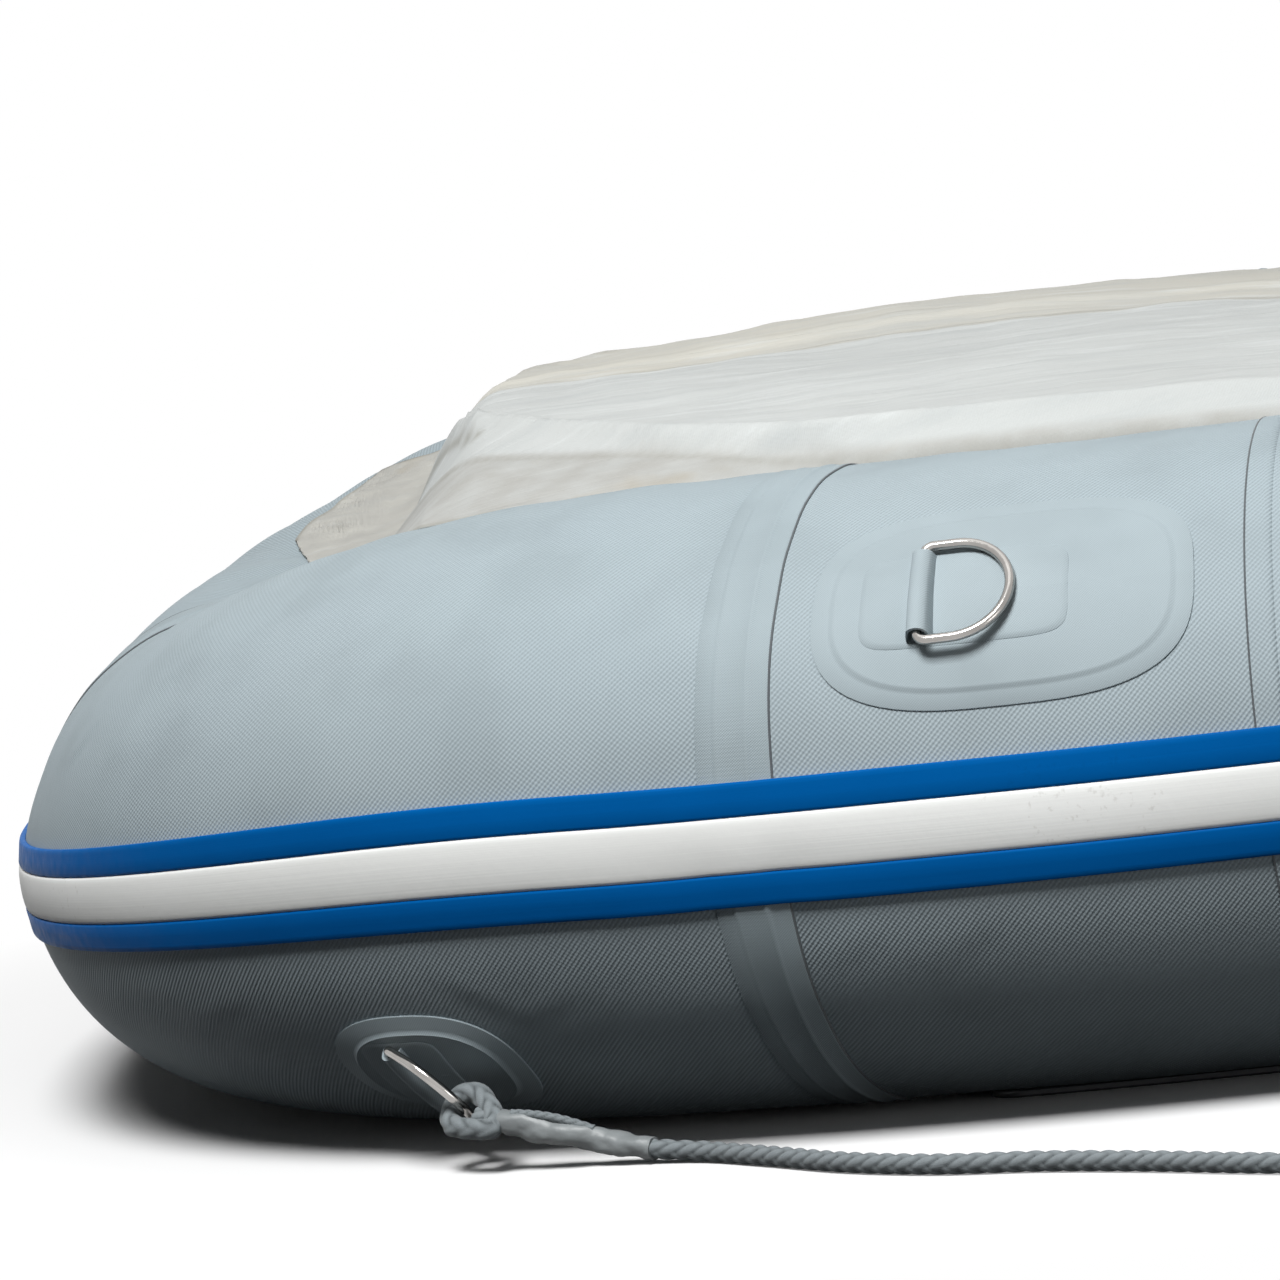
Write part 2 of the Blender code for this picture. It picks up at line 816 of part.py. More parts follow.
def make_rings():
    for side_name, side in sides:
        at = side * side_ring_distance
        patch_on_tube(
            f"side_ring_patch_{side_name}",
            at,
            side_ring_angle,
            side_patch_length,
            side_patch_width,
            side_patch_border,
            side_patch_shift,
            "tube_fabric",
        )
        make_strap(
            f"side_ring_strap_{side_name}",
            at,
            side_ring_angle,
            side_strap_length,
            side_strap_width,
            side_strap_shift,
            "tube_fabric",
        )
        make_ring(f"side_ring_{side_name}", at, side_ring_angle, 0)
        at = side * tow_ring_distance
        patch_on_tube(
            f"tow_ring_patch_{side_name}",
            at,
            tow_ring_angle,
            tow_patch_length,
            tow_patch_width,
            tow_patch_border,
            0,
            "tube_fabric",
        )
        make_strap(
            f"tow_ring_strap_{side_name}", at, tow_ring_angle, tow_strap_length, tow_strap_width, 0, "tube_fabric"
        )
        lift = tow_ring_pulled_angle if side > 0 else math.pi / 2
        make_ring(f"tow_ring_{side_name}", at, tow_ring_angle, lift)


# Bow cover


def tube_crest(x, y):
    """Height of the tube's round skin over a point in plan, or the ground where there is none."""
    place = Vector((x, abs(y)))
    centre, _, radius = min(bow_centres, key=lambda found: (found[0].xy - place).length)
    across = (centre.xy - place).length
    if across >= radius:
        return 0
    return centre.z + math.sqrt(radius**2 - across**2)


def cover_hem_angle(distance):
    """Where round the tube the hem lies: a flap on the nose, the crest beside it, and inboard along the side."""
    places = (
        (cover_nose_distance, cover_tip_hem_angle),
        (cover_flap_distance, cover_flap_hem_angle),
        (cover_crest_distance, cover_crest_hem_angle),
        (cover_side_distance, cover_side_hem_angle),
    )
    for (start, angle_a), (end, angle_b) in zip(places, places[1:]):
        if distance <= end:
            share = (distance - start) / (end - start)
            return angle_a + (angle_b - angle_a) * share
    return cover_side_hem_angle


def cover_height_at(x, y, edge_y):
    """The cover is a low crown over the cockpit, slopes down at the nose and lies on the tube at its hem."""
    slope = (x - bow_x - cover_slope_start) / (cover_slope_end - cover_slope_start)
    slope = min(1, max(0, slope))
    slope = slope * slope * (3 - 2 * slope)
    level = cover_height + cover_crown * (1 - (y / edge_y) ** 2)
    level += (cover_low_height - level) * slope
    inward = min(1, (edge_y - abs(y)) / cover_wall_run)
    on_tube = tube_crest(x, y) + cover_rise_over_tube
    wall = math.sin(inward * math.pi / 2)
    return max(on_tube, on_tube + (level - on_tube) * wall)


def make_cover():
    """The white cloth cover over the bow, a sheet with its aft edge open."""
    shape = bmesh.new()
    rows = []
    for at in stops_between(cover_nose_distance, cover_aft_distance):
        hem = skin_spot(at, cover_hem_angle(at), cover_clearance)
        row = []
        for lane in range(cover_lane_count + 1):
            share = 2 * lane / cover_lane_count - 1
            eased = math.copysign(1 - (1 - abs(share)) ** 1.6, share)
            y = eased * hem.y
            row.append(shape.verts.new((hem.x, y, cover_height_at(hem.x, y, hem.y))))
        rows.append(row)
    for row_a, row_b in zip(rows, rows[1:]):
        for lane in range(cover_lane_count):
            shape.faces.new((row_a[lane], row_a[lane + 1], row_b[lane + 1], row_b[lane]))
    cover = mesh_object("bow_cover", shape, "cover_cloth")
    thickness = cover.modifiers.new("cloth", "SOLIDIFY")
    thickness.thickness = cover_thickness
    thickness.offset = 1
    return cover


# Floor


def inner_outline(inset, start, aft_x):
    """An outline in plan, inset from the tube's centreline and cut straight at the stern."""
    half = []
    for at in stops_between(start, cone_distance):
        centre, outboard, radius = station(at)
        point = centre - outboard * inset * radius / tube_radius
        if point.x > aft_x and point.y > 0:
            half.append((point.x, point.y))
    half.append((aft_x, half[-1][1]))
    return [(x, y) for x, y in half] + [(x, -y) for x, y in reversed(half)]


def make_floor(hull_cutter):
    transom_face = bow_x - side_length + transom_setback + transom_thickness / 2
    level = Matrix.Identity(4)
    aft_end = transom_face - transom_thickness
    skin = prism(
        "floor_skin",
        inner_outline(skin_inset, bow_tape_width, aft_end),
        skin_height,
        skin_height + skin_thickness,
        level,
        "floor_fabric",
        parts,
    )
    cut(skin, hull_cutter)
    floor_low = skin_height + skin_thickness + seat_gap
    air_floor = prism(
        "air_floor",
        inner_outline(floor_inset, floor_nose_setback, transom_face + floor_edge_radius),
        floor_low,
        floor_low + floor_thickness,
        level,
        "floor_fabric",
        parts,
    )
    cut(air_floor, hull_cutter)


# Transom


def make_transom():
    transom_x = bow_x - side_length + transom_setback
    bottom = skin_height + skin_thickness + seat_gap
    upright = Matrix.Translation((transom_x, 0, 0)) @ Matrix(
        ((0, 0, 1, 0), (1, 0, 0, 0), (0, 1, 0, 0), (0, 0, 0, 1))
    )
    shoulder = transom_height - transom_shoulder_drop
    half = [
        (half_beam - skin_inset, bottom),
        (half_beam - skin_inset, tube_radius),
        (transom_shoulder_width / 2, shoulder),
        (transom_top_width / 2, transom_height),
    ]
    outline = half + [(-y, z) for y, z in reversed(half)]
    thickness = transom_thickness / 2
    board = prism("transom_board", outline, -thickness, thickness, upright, "board", parts)
    reach = transom_thickness + holder_lip * 2
    for side_name, side in sides:
        span = sided(side, transom_distance - reach, transom_distance + reach)
        tube = tube_length(f"transom_seat_{side_name}", *span, None, transom_edge_clearance, cutters)
        cut(board, tube)
        lips = sided(
            side,
            transom_distance - thickness - holder_lip,
            transom_distance + thickness + holder_lip,
        )
        holder = layer_on_tube(
            f"transom_holder_{side_name}",
            *lips,
            holder_high_angle,
            holder_low_angle,
            seat_gap,
            holder_depth,
            "rubber",
        )
        slot_span = sided(
            side,
            transom_distance - thickness - seat_gap,
            transom_distance + thickness + seat_gap,
        )
        slot = layer_on_tube(
            f"transom_slot_{side_name}",
            *slot_span,
            holder_high_angle - facet_turn,
            holder_low_angle + facet_turn,
            transom_edge_clearance - seat_gap,
            holder_depth * 2,
            None,
            cutters,
        )
        cut(holder, slot)
    drain_axis = Matrix.Translation((transom_x, drain_offset, drain_height)) @ Matrix.Rotation(
        -math.pi / 2, 4, "Y"
    )
    cut(board, cylinder("drain_hole", drain_radius, -thickness * 2, thickness * 2, drain_axis))
    stem = drain_radius - fit_clearance
    seat = thickness + seat_gap
    flange_top = seat + plug_flange_thickness
    plug_profile = [
        (0, flange_top + plug_knob_length),
        (plug_knob_radius, flange_top + plug_knob_length),
        (plug_knob_radius, flange_top),
        (plug_flange_radius, flange_top),
        (plug_flange_radius, seat),
        (stem, seat),
        (stem, -thickness),
        (0, -thickness),
    ]
    turned("drain_plug", plug_profile, drain_axis, "black_plastic")
    pad_x = transom_x - thickness - seat_gap - motor_pad_thickness / 2
    pad_z = transom_height - motor_pad_drop - motor_pad_height / 2
    block(
        "motor_pad",
        (motor_pad_thickness, motor_pad_width, motor_pad_height),
        Matrix.Translation((pad_x, 0, pad_z)),
        "black_plastic",
        parts,
        motor_pad_thickness / 4,
    )


# Bench


def bench_place():
    """Height of the bench's underside and its span, from the tubes that its ends are held on."""
    middle_height = ground_lift + tube_radius * flat_share
    underside = middle_height + tube_radius - bench_drop
    rise = underside + bench_thickness - middle_height
    return underside, 2 * (half_beam - math.sqrt(tube_radius**2 - rise**2) - bench_end_clearance)


def make_bench():
    bench_x = bow_x - bench_setback
    bench_height, bench_span = bench_place()
    middle = Matrix.Translation((bench_x, 0, 0))
    outline = rounded_rectangle(bench_depth, bench_span, bench_corner_radius)
    prism("bench_seat", outline, bench_height, bench_height + bench_thickness, middle, "board", parts)
    for side_name, side in sides:
        at = bow_run + bench_setback
        reach = bench_depth / 2 + bench_holder_margin
        holder = layer_on_tube(
            f"seat_holder_{side_name}",
            *sided(side, at - reach, at + reach),
            bench_holder_high_angle,
            bench_holder_low_angle,
            seat_gap,
            bench_holder_thickness,
            "rubber",
        )
        slot_outline = rounded_rectangle(
            bench_depth + 2 * fit_clearance, bench_span + 2 * fit_clearance, bench_corner_radius + fit_clearance
        )
        slot = prism(
            f"bench_slot_{side_name}",
            slot_outline,
            bench_height - seat_gap,
            bench_height + bench_thickness + seat_gap,
            middle,
        )
        cut(holder, slot)


# Rowlocks and oars


def blade_piece(name, place):
    """A moulded blade with a hollow neck and a ridge that tapers into it, along -X of its place."""
    start = oar_outboard_length - blade_neck_length
    middle = start + blade_neck_length + blade_length / 2 - blade_corner_radius / 2
    outline = rounded_rectangle(blade_length, blade_width, blade_corner_radius, (-middle, 0))
    upright = place @ Matrix.Rotation(math.pi / 2, 4, "X")
    plate = prism(name, outline, -blade_thickness / 2, blade_thickness / 2, upright, "grey_plastic", parts)
    aft = place @ Matrix.Rotation(-math.pi / 2, 4, "Y")
    neck_end = start + blade_neck_length
    join(plate, cylinder(f"{name}_neck", blade_neck_radius, start, neck_end + blade_thickness, aft))
    ridge = cylinder(
        f"{name}_ridge",
        blade_neck_radius * 0.96,
        neck_end - blade_thickness,
        neck_end + blade_ridge_length,
        aft,
        top_radius=blade_ridge_tip_radius,
    )
    join(plate, ridge)
    bore = oar_radius + fit_clearance
    cut(plate, cylinder(f"{name}_socket", bore, start - blade_neck_length, neck_end + fit_clearance, aft))
    return plate


def make_oars():
    for side_name, side in sides:
        at = side * (bow_run + rowlock_setback)
        crest = math.pi / 2
        seat = seat_matrix(at, crest, 0)
        upright = Matrix.Translation(seat.translation)
        base_reach = rowlock_pad_length * 0.75
        pad = layer_on_tube(
            f"rowlock_base_{side_name}",
            at - base_reach,
            at + base_reach,
            crest - rowlock_pad_width / tube_radius,
            crest + rowlock_pad_width / tube_radius,
            seat_gap,
            seat_gap + rowlock_pad_thickness,
            "rubber",
        )
        pad_shape = oval(rowlock_pad_length, rowlock_pad_width)
        keep_common(pad, prism(f"rowlock_outline_{side_name}", pad_shape, -tube_radius / 2, tube_radius / 2, upright))
        boss = cylinder(
            f"rowlock_boss_{side_name}",
            rowlock_boss_radius,
            seat_gap + rowlock_pad_thickness / 2,
            rowlock_boss_height,
            upright,
            top_radius=rowlock_boss_top_radius,
        )
        join(pad, boss)
        pin_bore = rowlock_pin_radius + fit_clearance
        bore_floor = rowlock_boss_height - rowlock_pin_length - fit_clearance
        cut(pad, cylinder(f"rowlock_bore_{side_name}", pin_bore, bore_floor, rowlock_boss_height * 2, upright))

        pivot_height = blade_width / 2 + blade_rest_gap
        disc_low = rowlock_boss_height + seat_gap
        fork = cylinder(
            f"rowlock_swivel_{side_name}",
            fork_disc_radius,
            disc_low,
            disc_low + fork_disc_thickness,
            upright,
            "black_plastic",
            parts,
        )
        pin_low = rowlock_boss_height - rowlock_pin_length
        join(fork, cylinder(f"fork_pin_{side_name}", rowlock_pin_radius, pin_low, disc_low + seat_gap, upright))
        cheek_gap = oar_radius + fit_clearance * 2
        pivot = upright @ Matrix.Translation((0, 0, pivot_height))
        crosswise = pivot @ Matrix.Rotation(math.pi / 2, 4, "X")
        for cheek_side in (-1, 1):
            cheek_y = cheek_side * (cheek_gap + fork_cheek_thickness / 2)
            cheek_low = disc_low + fork_disc_thickness / 2
            cheek_height = pivot_height - cheek_low
            place = upright @ Matrix.Translation((0, cheek_y, cheek_low + cheek_height / 2))
            label = f"{side_name}_{'outer' if cheek_side > 0 else 'inner'}"
            join(fork, block(f"fork_cheek_{label}", (fork_cheek_width, fork_cheek_thickness, cheek_height), place))
            eye_low, eye_high = sorted((-cheek_y - fork_cheek_thickness / 2, -cheek_y + fork_cheek_thickness / 2))
            join(fork, cylinder(f"fork_eye_{label}", fork_cheek_width / 2, eye_low, eye_high, crosswise, sides=12))
        cross_reach = cheek_gap + fork_cheek_thickness / 2
        join(fork, cylinder(f"fork_cross_{side_name}", fork_cross_pin_radius, -cross_reach, cross_reach, crosswise, sides=12))

        along = pivot @ Matrix.Rotation(math.pi / 2, 4, "Y")
        shaft_start = oar_inboard_length - fit_clearance
        shaft = cylinder(
            f"oar_shaft_{side_name}", oar_radius, -oar_outboard_length, shaft_start, along, "aluminium", parts
        )
        hole = fork_cross_pin_radius + fit_clearance
        cut(shaft, cylinder(f"oar_hole_{side_name}", hole, -cheek_gap * 2, cheek_gap * 2, crosswise, sides=12))
        blade_piece(f"oar_blade_{side_name}", pivot)

        grip_start = oar_inboard_length - grip_length
        grip_end = oar_inboard_length + grip_radius
        bore = oar_radius + fit_clearance
        profile = [(0, grip_end), (grip_radius * 0.7, grip_end), (grip_radius, grip_end - grip_radius * 0.4)]
        pitch = grip_length / grip_rib_count
        for rib in range(grip_rib_count):
            top = oar_inboard_length - rib * pitch
            profile.append((grip_radius - grip_rib_height, top - pitch * 0.25))
            profile.append((grip_radius, top - pitch * 0.6))
        profile += [(grip_radius, grip_start), (bore, grip_start), (bore, oar_inboard_length), (0, oar_inboard_length)]
        turned(f"oar_grip_{side_name}", profile, along, "rubber")


# Valves


def make_valve(label, distance, angle, tube):
    """A push-pin valve let into the tube, under a cap that turns."""
    place = seat_matrix(distance, angle, 0)
    pocket = cylinder(
        f"valve_pocket_{label}",
        valve_barrel_radius + seat_gap,
        -valve_depth - valve_seal_thickness * 3,
        valve_depth,
        place,
    )
    cut(tube, pocket)
    rim = -valve_flange_radius**2 / tube_radius
    flange = cylinder(
        f"valve_body_{label}", valve_flange_radius, rim, valve_flange_height, place, "black_plastic", parts, 20
    )
    low, high = sorted((distance - valve_flange_radius * 2, distance + valve_flange_radius * 2))
    cut(flange, tube_length(f"valve_seat_{label}", low, high, None, seat_gap, cutters))
    barrel = cylinder(f"valve_barrel_{label}", valve_barrel_radius, -valve_depth, valve_flange_height / 2, place)
    join(flange, barrel)
    web_low = -valve_web_depth - valve_web_thickness
    upper = cylinder(f"valve_mouth_{label}", valve_bore_radius, -valve_web_depth, valve_depth, place)
    lower = cylinder(f"valve_throat_{label}", valve_bore_radius, -valve_depth * 2, web_low, place)
    stem_bore = valve_stem_radius + fit_clearance
    middle = cylinder(f"valve_guide_{label}", stem_bore, -valve_depth, 0, place, sides=8)
    for cutter in (upper, lower, middle):
        cut(flange, cutter)
    seal_top = web_low - valve_seal_gap
    seal_low = seal_top - valve_seal_thickness
    button_top = -valve_button_drop
    pin_profile = [
        (0, button_top),
        (valve_button_radius * 0.85, button_top),
        (valve_button_radius, button_top - valve_button_height * 0.25),
        (valve_button_radius, button_top - valve_button_height),
        (valve_stem_radius, button_top - valve_button_height),
        (valve_stem_radius, seal_top),
        (valve_seal_radius, seal_top),
        (valve_seal_radius, seal_low),
        (0, seal_low),
    ]
    turned(f"valve_pin_{label}", pin_profile, place, "grey_plastic", steps=12)
    cap_low = valve_flange_height + seat_gap
    cap_top = cap_low + valve_cap_height
    inside = valve_cap_radius - valve_cap_wall
    cap_profile = [
        (0, cap_top),
        (valve_cap_radius * 0.9, cap_top),
        (valve_cap_radius, cap_top - valve_cap_radius * 0.1),
        (valve_cap_radius, cap_low),
        (inside, cap_low),
        (inside, cap_top - valve_cap_wall),
        (0, cap_top - valve_cap_wall),
    ]
    turned(f"valve_cap_{label}", cap_profile, place, "black_plastic", steps=valve_cap_sides)


# Painter


def smooth_route(points, spacing):
    """Evenly spaced points on one smooth curve through the given points."""
    padded = [points[0] * 2 - points[1], *points, points[-1] * 2 - points[-2]]
    fine = []
    for index in range(1, len(padded) - 2):
        before, start, end, after = padded[index - 1 : index + 3]
        for step in range(12):
            share = step / 12
            square, cube = share**2, share**3
            fine.append(
                0.5
                * (
                    2 * start
                    + (end - before) * share
                    + (2 * before - 5 * start + 4 * end - after) * square
                    + (3 * start - before - 3 * end + after) * cube
                )
            )
    fine.append(points[-1])
    lengths = [0.0]
    for start, end in zip(fine, fine[1:]):
        lengths.append(lengths[-1] + (end - start).length)
    count = max(2, round(lengths[-1] / spacing))
    route = []
    index = 0
    for step in range(count + 1):
        target = lengths[-1] * step / count
        while index < len(fine) - 2 and lengths[index + 1] < target:
            index += 1
        share = (target - lengths[index]) / (lengths[index + 1] - lengths[index])
        route.append(fine[index].lerp(fine[index + 1], share))
    return route


coil_centre = Vector((0.24, 0.9, 0))

# The painter's way from the towing ring down to the ground and along it to the coil, in plan and height,
# measured from the start of the bow curve
painter_points = (
    (0.962, 0.55, 0.033),
    (0.94, 0.566, 0.03),
    (0.912, 0.577, 0.023),
    (0.882, 0.586, 0.0145),
    (0.854, 0.6, 0.009),
    (0.82, 0.622, 0.0066),
    (0.782, 0.665, 0.0063),
    (0.735, 0.722, 0.0063),
    (0.682, 0.768, 0.0063),
    (0.622, 0.803, 0.0063),
    (0.562, 0.848, 0.0063),
    (0.495, 0.905, 0.0063),
    (0.43, 0.952, 0.0063),
    (0.36, 0.982, 0.0063),
    (0.29, 0.9902, 0.0063),
    (0.254, 0.9902, 0.0063),
)
splice_point_count = 5


def coil_route():
    """Two layers of turns: in along the ground, up at the middle, and out again on top."""
    start = Vector((bow_x, 0, 0)) + coil_centre
    inner_radius = coil_outer_radius - coil_turns * coil_pitch
    total_turns = 2 * coil_turns + 0.5
    points = []
    count = round(total_turns * coil_points_per_turn)
    for step in range(count + 1):
        turns = total_turns * step / count
        if turns <= coil_turns:
            radius = coil_outer_radius - coil_pitch * turns
            rise = 0
        elif turns <= coil_turns + 0.5:
            swing = (1 - math.cos(4 * math.pi * (turns - coil_turns))) / 2
            radius = inner_radius - coil_pitch * swing / 3
            rise = (1 - math.cos(math.pi * (turns - coil_turns) * 2)) / 2
        else:
            radius = inner_radius + coil_pitch * (turns - coil_turns - 0.5)
            rise = 1
        angle = math.pi / 2 + 2 * math.pi * turns
        height = rope_height + coil_layer_rise * rise
        points.append(start + Vector((radius * math.cos(angle), radius * math.sin(angle), height)))
    lead_in = (points[0] - points[1]).normalized() * rope_radius * 2
    lead_out = (points[-1] - points[-2]).normalized() * rope_radius * 2
    return [points[0] + lead_in] + points + [points[-1] + lead_out]


def least_self_gap(points, radius, skip):
    """The least clear distance between stretches of a wound cord, measured on its points."""
    least = math.inf
    for index, here in enumerate(points):
        for other in points[index + skip :]:
            least = min(least, (here - other).length - 2 * radius)
    return least


def make_painter():
    shift = Vector((bow_x, 0, 0))
    places = [shift + Vector(point) for point in painter_points]
    ring = ring_place(tow_ring_distance, tow_ring_angle) @ Matrix.Rotation(-tow_ring_pulled_angle, 4, "Y")
    reach = ring_inner_depth + 2 * ring_rod_radius
    eye_middle = ring @ Vector((reach + eye_pull, 0, 0))
    eye_axes = ring.to_3x3().to_4x4()
    eye_place = Matrix.Translation(eye_middle) @ eye_axes
    eye_points = []
    for step in range(16):
        turn = 2 * math.pi * step / 16
        eye_points.append(Vector((eye_radius * math.cos(turn), 0, eye_radius * math.sin(turn))))
    eye = cord_curve("painter_splice", eye_points, eye_rope_radius, 2, "rope", closed=True)
    eye.matrix_world = eye_place
    bpy.context.view_layer.update()
    eye = as_mesh(eye, "rope")
    tail_start = eye_place @ Vector((eye_radius + eye_rope_radius / 2, 0, 0))
    whole = smooth_route([tail_start] + places[1:], rope_segment)
    bend_end = places[splice_point_count - 1]
    free_start = min(range(len(whole)), key=lambda index: (whole[index] - bend_end).length)
    tail = cord_curve("splice_tail", whole[: free_start + 1], splice_radius, 2, None, collection=cutters)
    tail = as_mesh(tail, None)
    join(eye, tail)

    free = whole[free_start:]
    free[0] = free[0] + (free[1] - free[0]).normalized() * seat_gap * 3
    coil = coil_route()
    free[-1] = coil[0] + (coil[0] - coil[1]).normalized() * seat_gap
    cord_curve("painter_rope", free, rope_radius, 2, "rope")
    cord_curve("painter_coil", coil, rope_radius, 1, "rope")
    gap = least_self_gap(coil, rope_radius, coil_points_per_turn // 2)
    print(f"least gap between the coil's turns {gap * 1000:.2f} mm")
    length = sum((b - a).length for a, b in zip(free, free[1:])) + sum(
        (b - a).length for a, b in zip(coil, coil[1:])
    )
    print(f"painter without its splice {length:.2f} m, {len(free)} points, free from {free_start}")


def main():
    make_tube()
    make_strake()
    make_wear_strips()
    make_rings()
    make_cover()
    hull_cutter = tube_length("hull_cutter", -cone_distance, cone_distance, None, over_tape, cutters)
    make_floor(hull_cutter)
    make_transom()
    make_bench()
    make_oars()
    for label, distance, tube_name in (
        ("bow", bow_valve_distance, "bow_tube_port"),
        ("port", side_valve_distance, "side_tube_port"),
        ("starboard", -side_valve_distance, "side_tube_starboard"),
    ):
        make_valve(label, distance, valve_angle, bpy.data.objects[tube_name])
    make_painter()


main()
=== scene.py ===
import json
import math

import bmesh
import bpy
from mathutils import Matrix, Vector, noise


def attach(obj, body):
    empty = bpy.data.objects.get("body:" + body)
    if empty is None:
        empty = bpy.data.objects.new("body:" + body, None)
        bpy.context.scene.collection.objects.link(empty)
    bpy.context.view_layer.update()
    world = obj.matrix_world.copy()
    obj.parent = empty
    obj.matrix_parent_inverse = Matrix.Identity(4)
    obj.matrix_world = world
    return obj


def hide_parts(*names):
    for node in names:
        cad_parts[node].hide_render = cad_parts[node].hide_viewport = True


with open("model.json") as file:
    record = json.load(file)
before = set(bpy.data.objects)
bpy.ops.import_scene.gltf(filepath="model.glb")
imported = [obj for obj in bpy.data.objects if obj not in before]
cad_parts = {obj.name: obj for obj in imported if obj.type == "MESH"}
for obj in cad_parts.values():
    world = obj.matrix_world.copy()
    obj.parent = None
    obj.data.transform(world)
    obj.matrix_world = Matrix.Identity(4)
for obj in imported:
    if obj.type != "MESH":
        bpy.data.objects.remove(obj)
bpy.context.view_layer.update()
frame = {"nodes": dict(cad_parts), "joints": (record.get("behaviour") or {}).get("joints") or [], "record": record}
cadNodes = frame["nodes"]
joints = {joint["name"]: joint for joint in frame["joints"]}
up = Vector((0, 0, 1))
sides = (("port", 1), ("starboard", -1))
print("frame loaded, nodes:", len(cadNodes))

# camera, set where the photo was taken from, a little rolled as the photo is
view = {
    "place": (0.4651, 6.3115, 0.9309),
    "right": (-0.98888, -0.05478, -0.13826),
    "upward": (-0.13119, -0.11654, 0.98448),
    "back": (-0.07005, 0.99167, 0.10806),
    "lens": 276.93,
    "sensor": 36.0,
    "farthest": 60,
}


def setCamera():
    data = bpy.data.cameras.new("photoCamera")
    data.lens = view["lens"]
    data.sensor_width = view["sensor"]
    data.sensor_fit = "HORIZONTAL"
    data.clip_end = view["farthest"]
    made = bpy.data.objects.new("photoCamera", data)
    bpy.context.scene.collection.objects.link(made)
    turn = Matrix((view["right"], view["upward"], view["back"])).transposed()
    made.matrix_world = Matrix.Translation(view["place"]) @ turn.to_quaternion().to_matrix().to_4x4()
    bpy.context.scene.camera = made


setCamera()
print("camera set")

# the tube's sizes, as the frame has them, in metres
boat = {
    "tubeRadius": 0.19,
    "halfBeam": 0.57,
    "bowLength": 1.12,
    "bowFullness": 2.5,
    "noseTaper": 0.2,
    "noseTaperLength": 0.32,
    "sideLength": 1.02,
    "coneLength": 0.36,
    "coneTip": 0.055,
    "coneRise": 0.05,
    "coneCurve": 1.7,
    "groundLift": 0.0051,
    "strakeReach": 0.0146,
    "facetShare": math.cos(math.radians(7.5)),
}
boat["skinShare"] = (1 + boat["facetShare"]) / 2
tubeRadius = boat["tubeRadius"]
noseRadius = tubeRadius * (1 - boat["noseTaper"])
noseReach = boat["bowLength"] + (noseRadius + boat["strakeReach"]) * boat["facetShare"]
bowX = (boat["sideLength"] + boat["coneLength"] - noseReach) / 2


def bowPoint(turn):
    power = 2 / boat["bowFullness"]
    x = bowX + boat["bowLength"] * max(math.cos(turn), 0) ** power
    return x, boat["halfBeam"] * math.sin(turn) ** power


def bowSteps(count=600):
    table = [(0.0, 0.0)]
    before = bowPoint(0)
    for step in range(1, count + 1):
        turn = math.pi / 2 * step / count
        here = bowPoint(turn)
        table.append((turn, table[-1][1] + math.dist(before, here)))
        before = here
    return table


bowTable = bowSteps()
bowRun = bowTable[-1][1]
coneStart = bowRun + boat["sideLength"]
sternEnd = coneStart + boat["coneLength"]
shoulder = 0.687  # from the nose to the seam between the bow and side chambers


def turnAt(distance):
    low, high = 0, len(bowTable) - 1
    while high - low > 1:
        middle = (low + high) // 2
        if bowTable[middle][1] <= distance:
            low = middle
        else:
            high = middle
    (turnA, atA), (turnB, atB) = bowTable[low], bowTable[high]
    return turnA + (turnB - turnA) * (distance - atA) / (atB - atA)


placesSeen = {}


def tubePlace(distance):
    # centre, outboard direction and radius of the tube at a signed distance from the nose
    key = round(distance, 5)
    if key in placesSeen:
        return placesSeen[key]
    side = -1 if distance < 0 else 1
    along = abs(distance)
    lift = 0
    if along < bowRun:
        turn = turnAt(along)
        x, y = bowPoint(turn)
        power = 2 - 2 / boat["bowFullness"]
        ahead = Vector(
            (-boat["bowLength"] * math.sin(turn) ** power, boat["halfBeam"] * math.cos(turn) ** power, 0)
        )
        ahead.normalize()
        intoNose = max(0, x - (bowX + boat["bowLength"] - boat["noseTaperLength"])) / boat["noseTaperLength"]
        radius = tubeRadius * (1 - boat["noseTaper"] * intoNose**2)
    else:
        x, y = bowX - (along - bowRun), boat["halfBeam"]
        ahead = Vector((-1, 0, 0))
        intoCone = (max(0, along - coneStart) / boat["coneLength"]) ** boat["coneCurve"]
        radius = tubeRadius - (tubeRadius - boat["coneTip"]) * intoCone
        lift = (tubeRadius - radius) * (boat["facetShare"] - 0.6) + boat["coneRise"] * intoCone
    centre = Vector((x, side * y, boat["groundLift"] + radius * boat["facetShare"] + max(lift, 0)))
    outboard = Vector((ahead.y, -side * ahead.x, 0))
    placesSeen[key] = (centre, outboard, radius)
    return placesSeen[key]


def nearby(offset, width):
    return math.exp(-((offset / width) ** 2))


def smoothStep(share):
    share = min(1, max(0, share))
    return share * share * (3 - 2 * share)


def noiseAt(x, y, z):
    return noise.noise(Vector((x, y, z)))


# what lifts the skin off a plain round tube or draws it in, in metres
relief = {
    "soft": 0.0011,
    "shoulderDraw": 0.0016,
    "shoulderPucker": 0.0036,
    "noseDraw": 0.007,
    "nosePucker": 0.0022,
    "farCrestRipple": 0.0055,
    "nearCrest": 0.009,
    "nearCrestRipple": 0.0022,
}
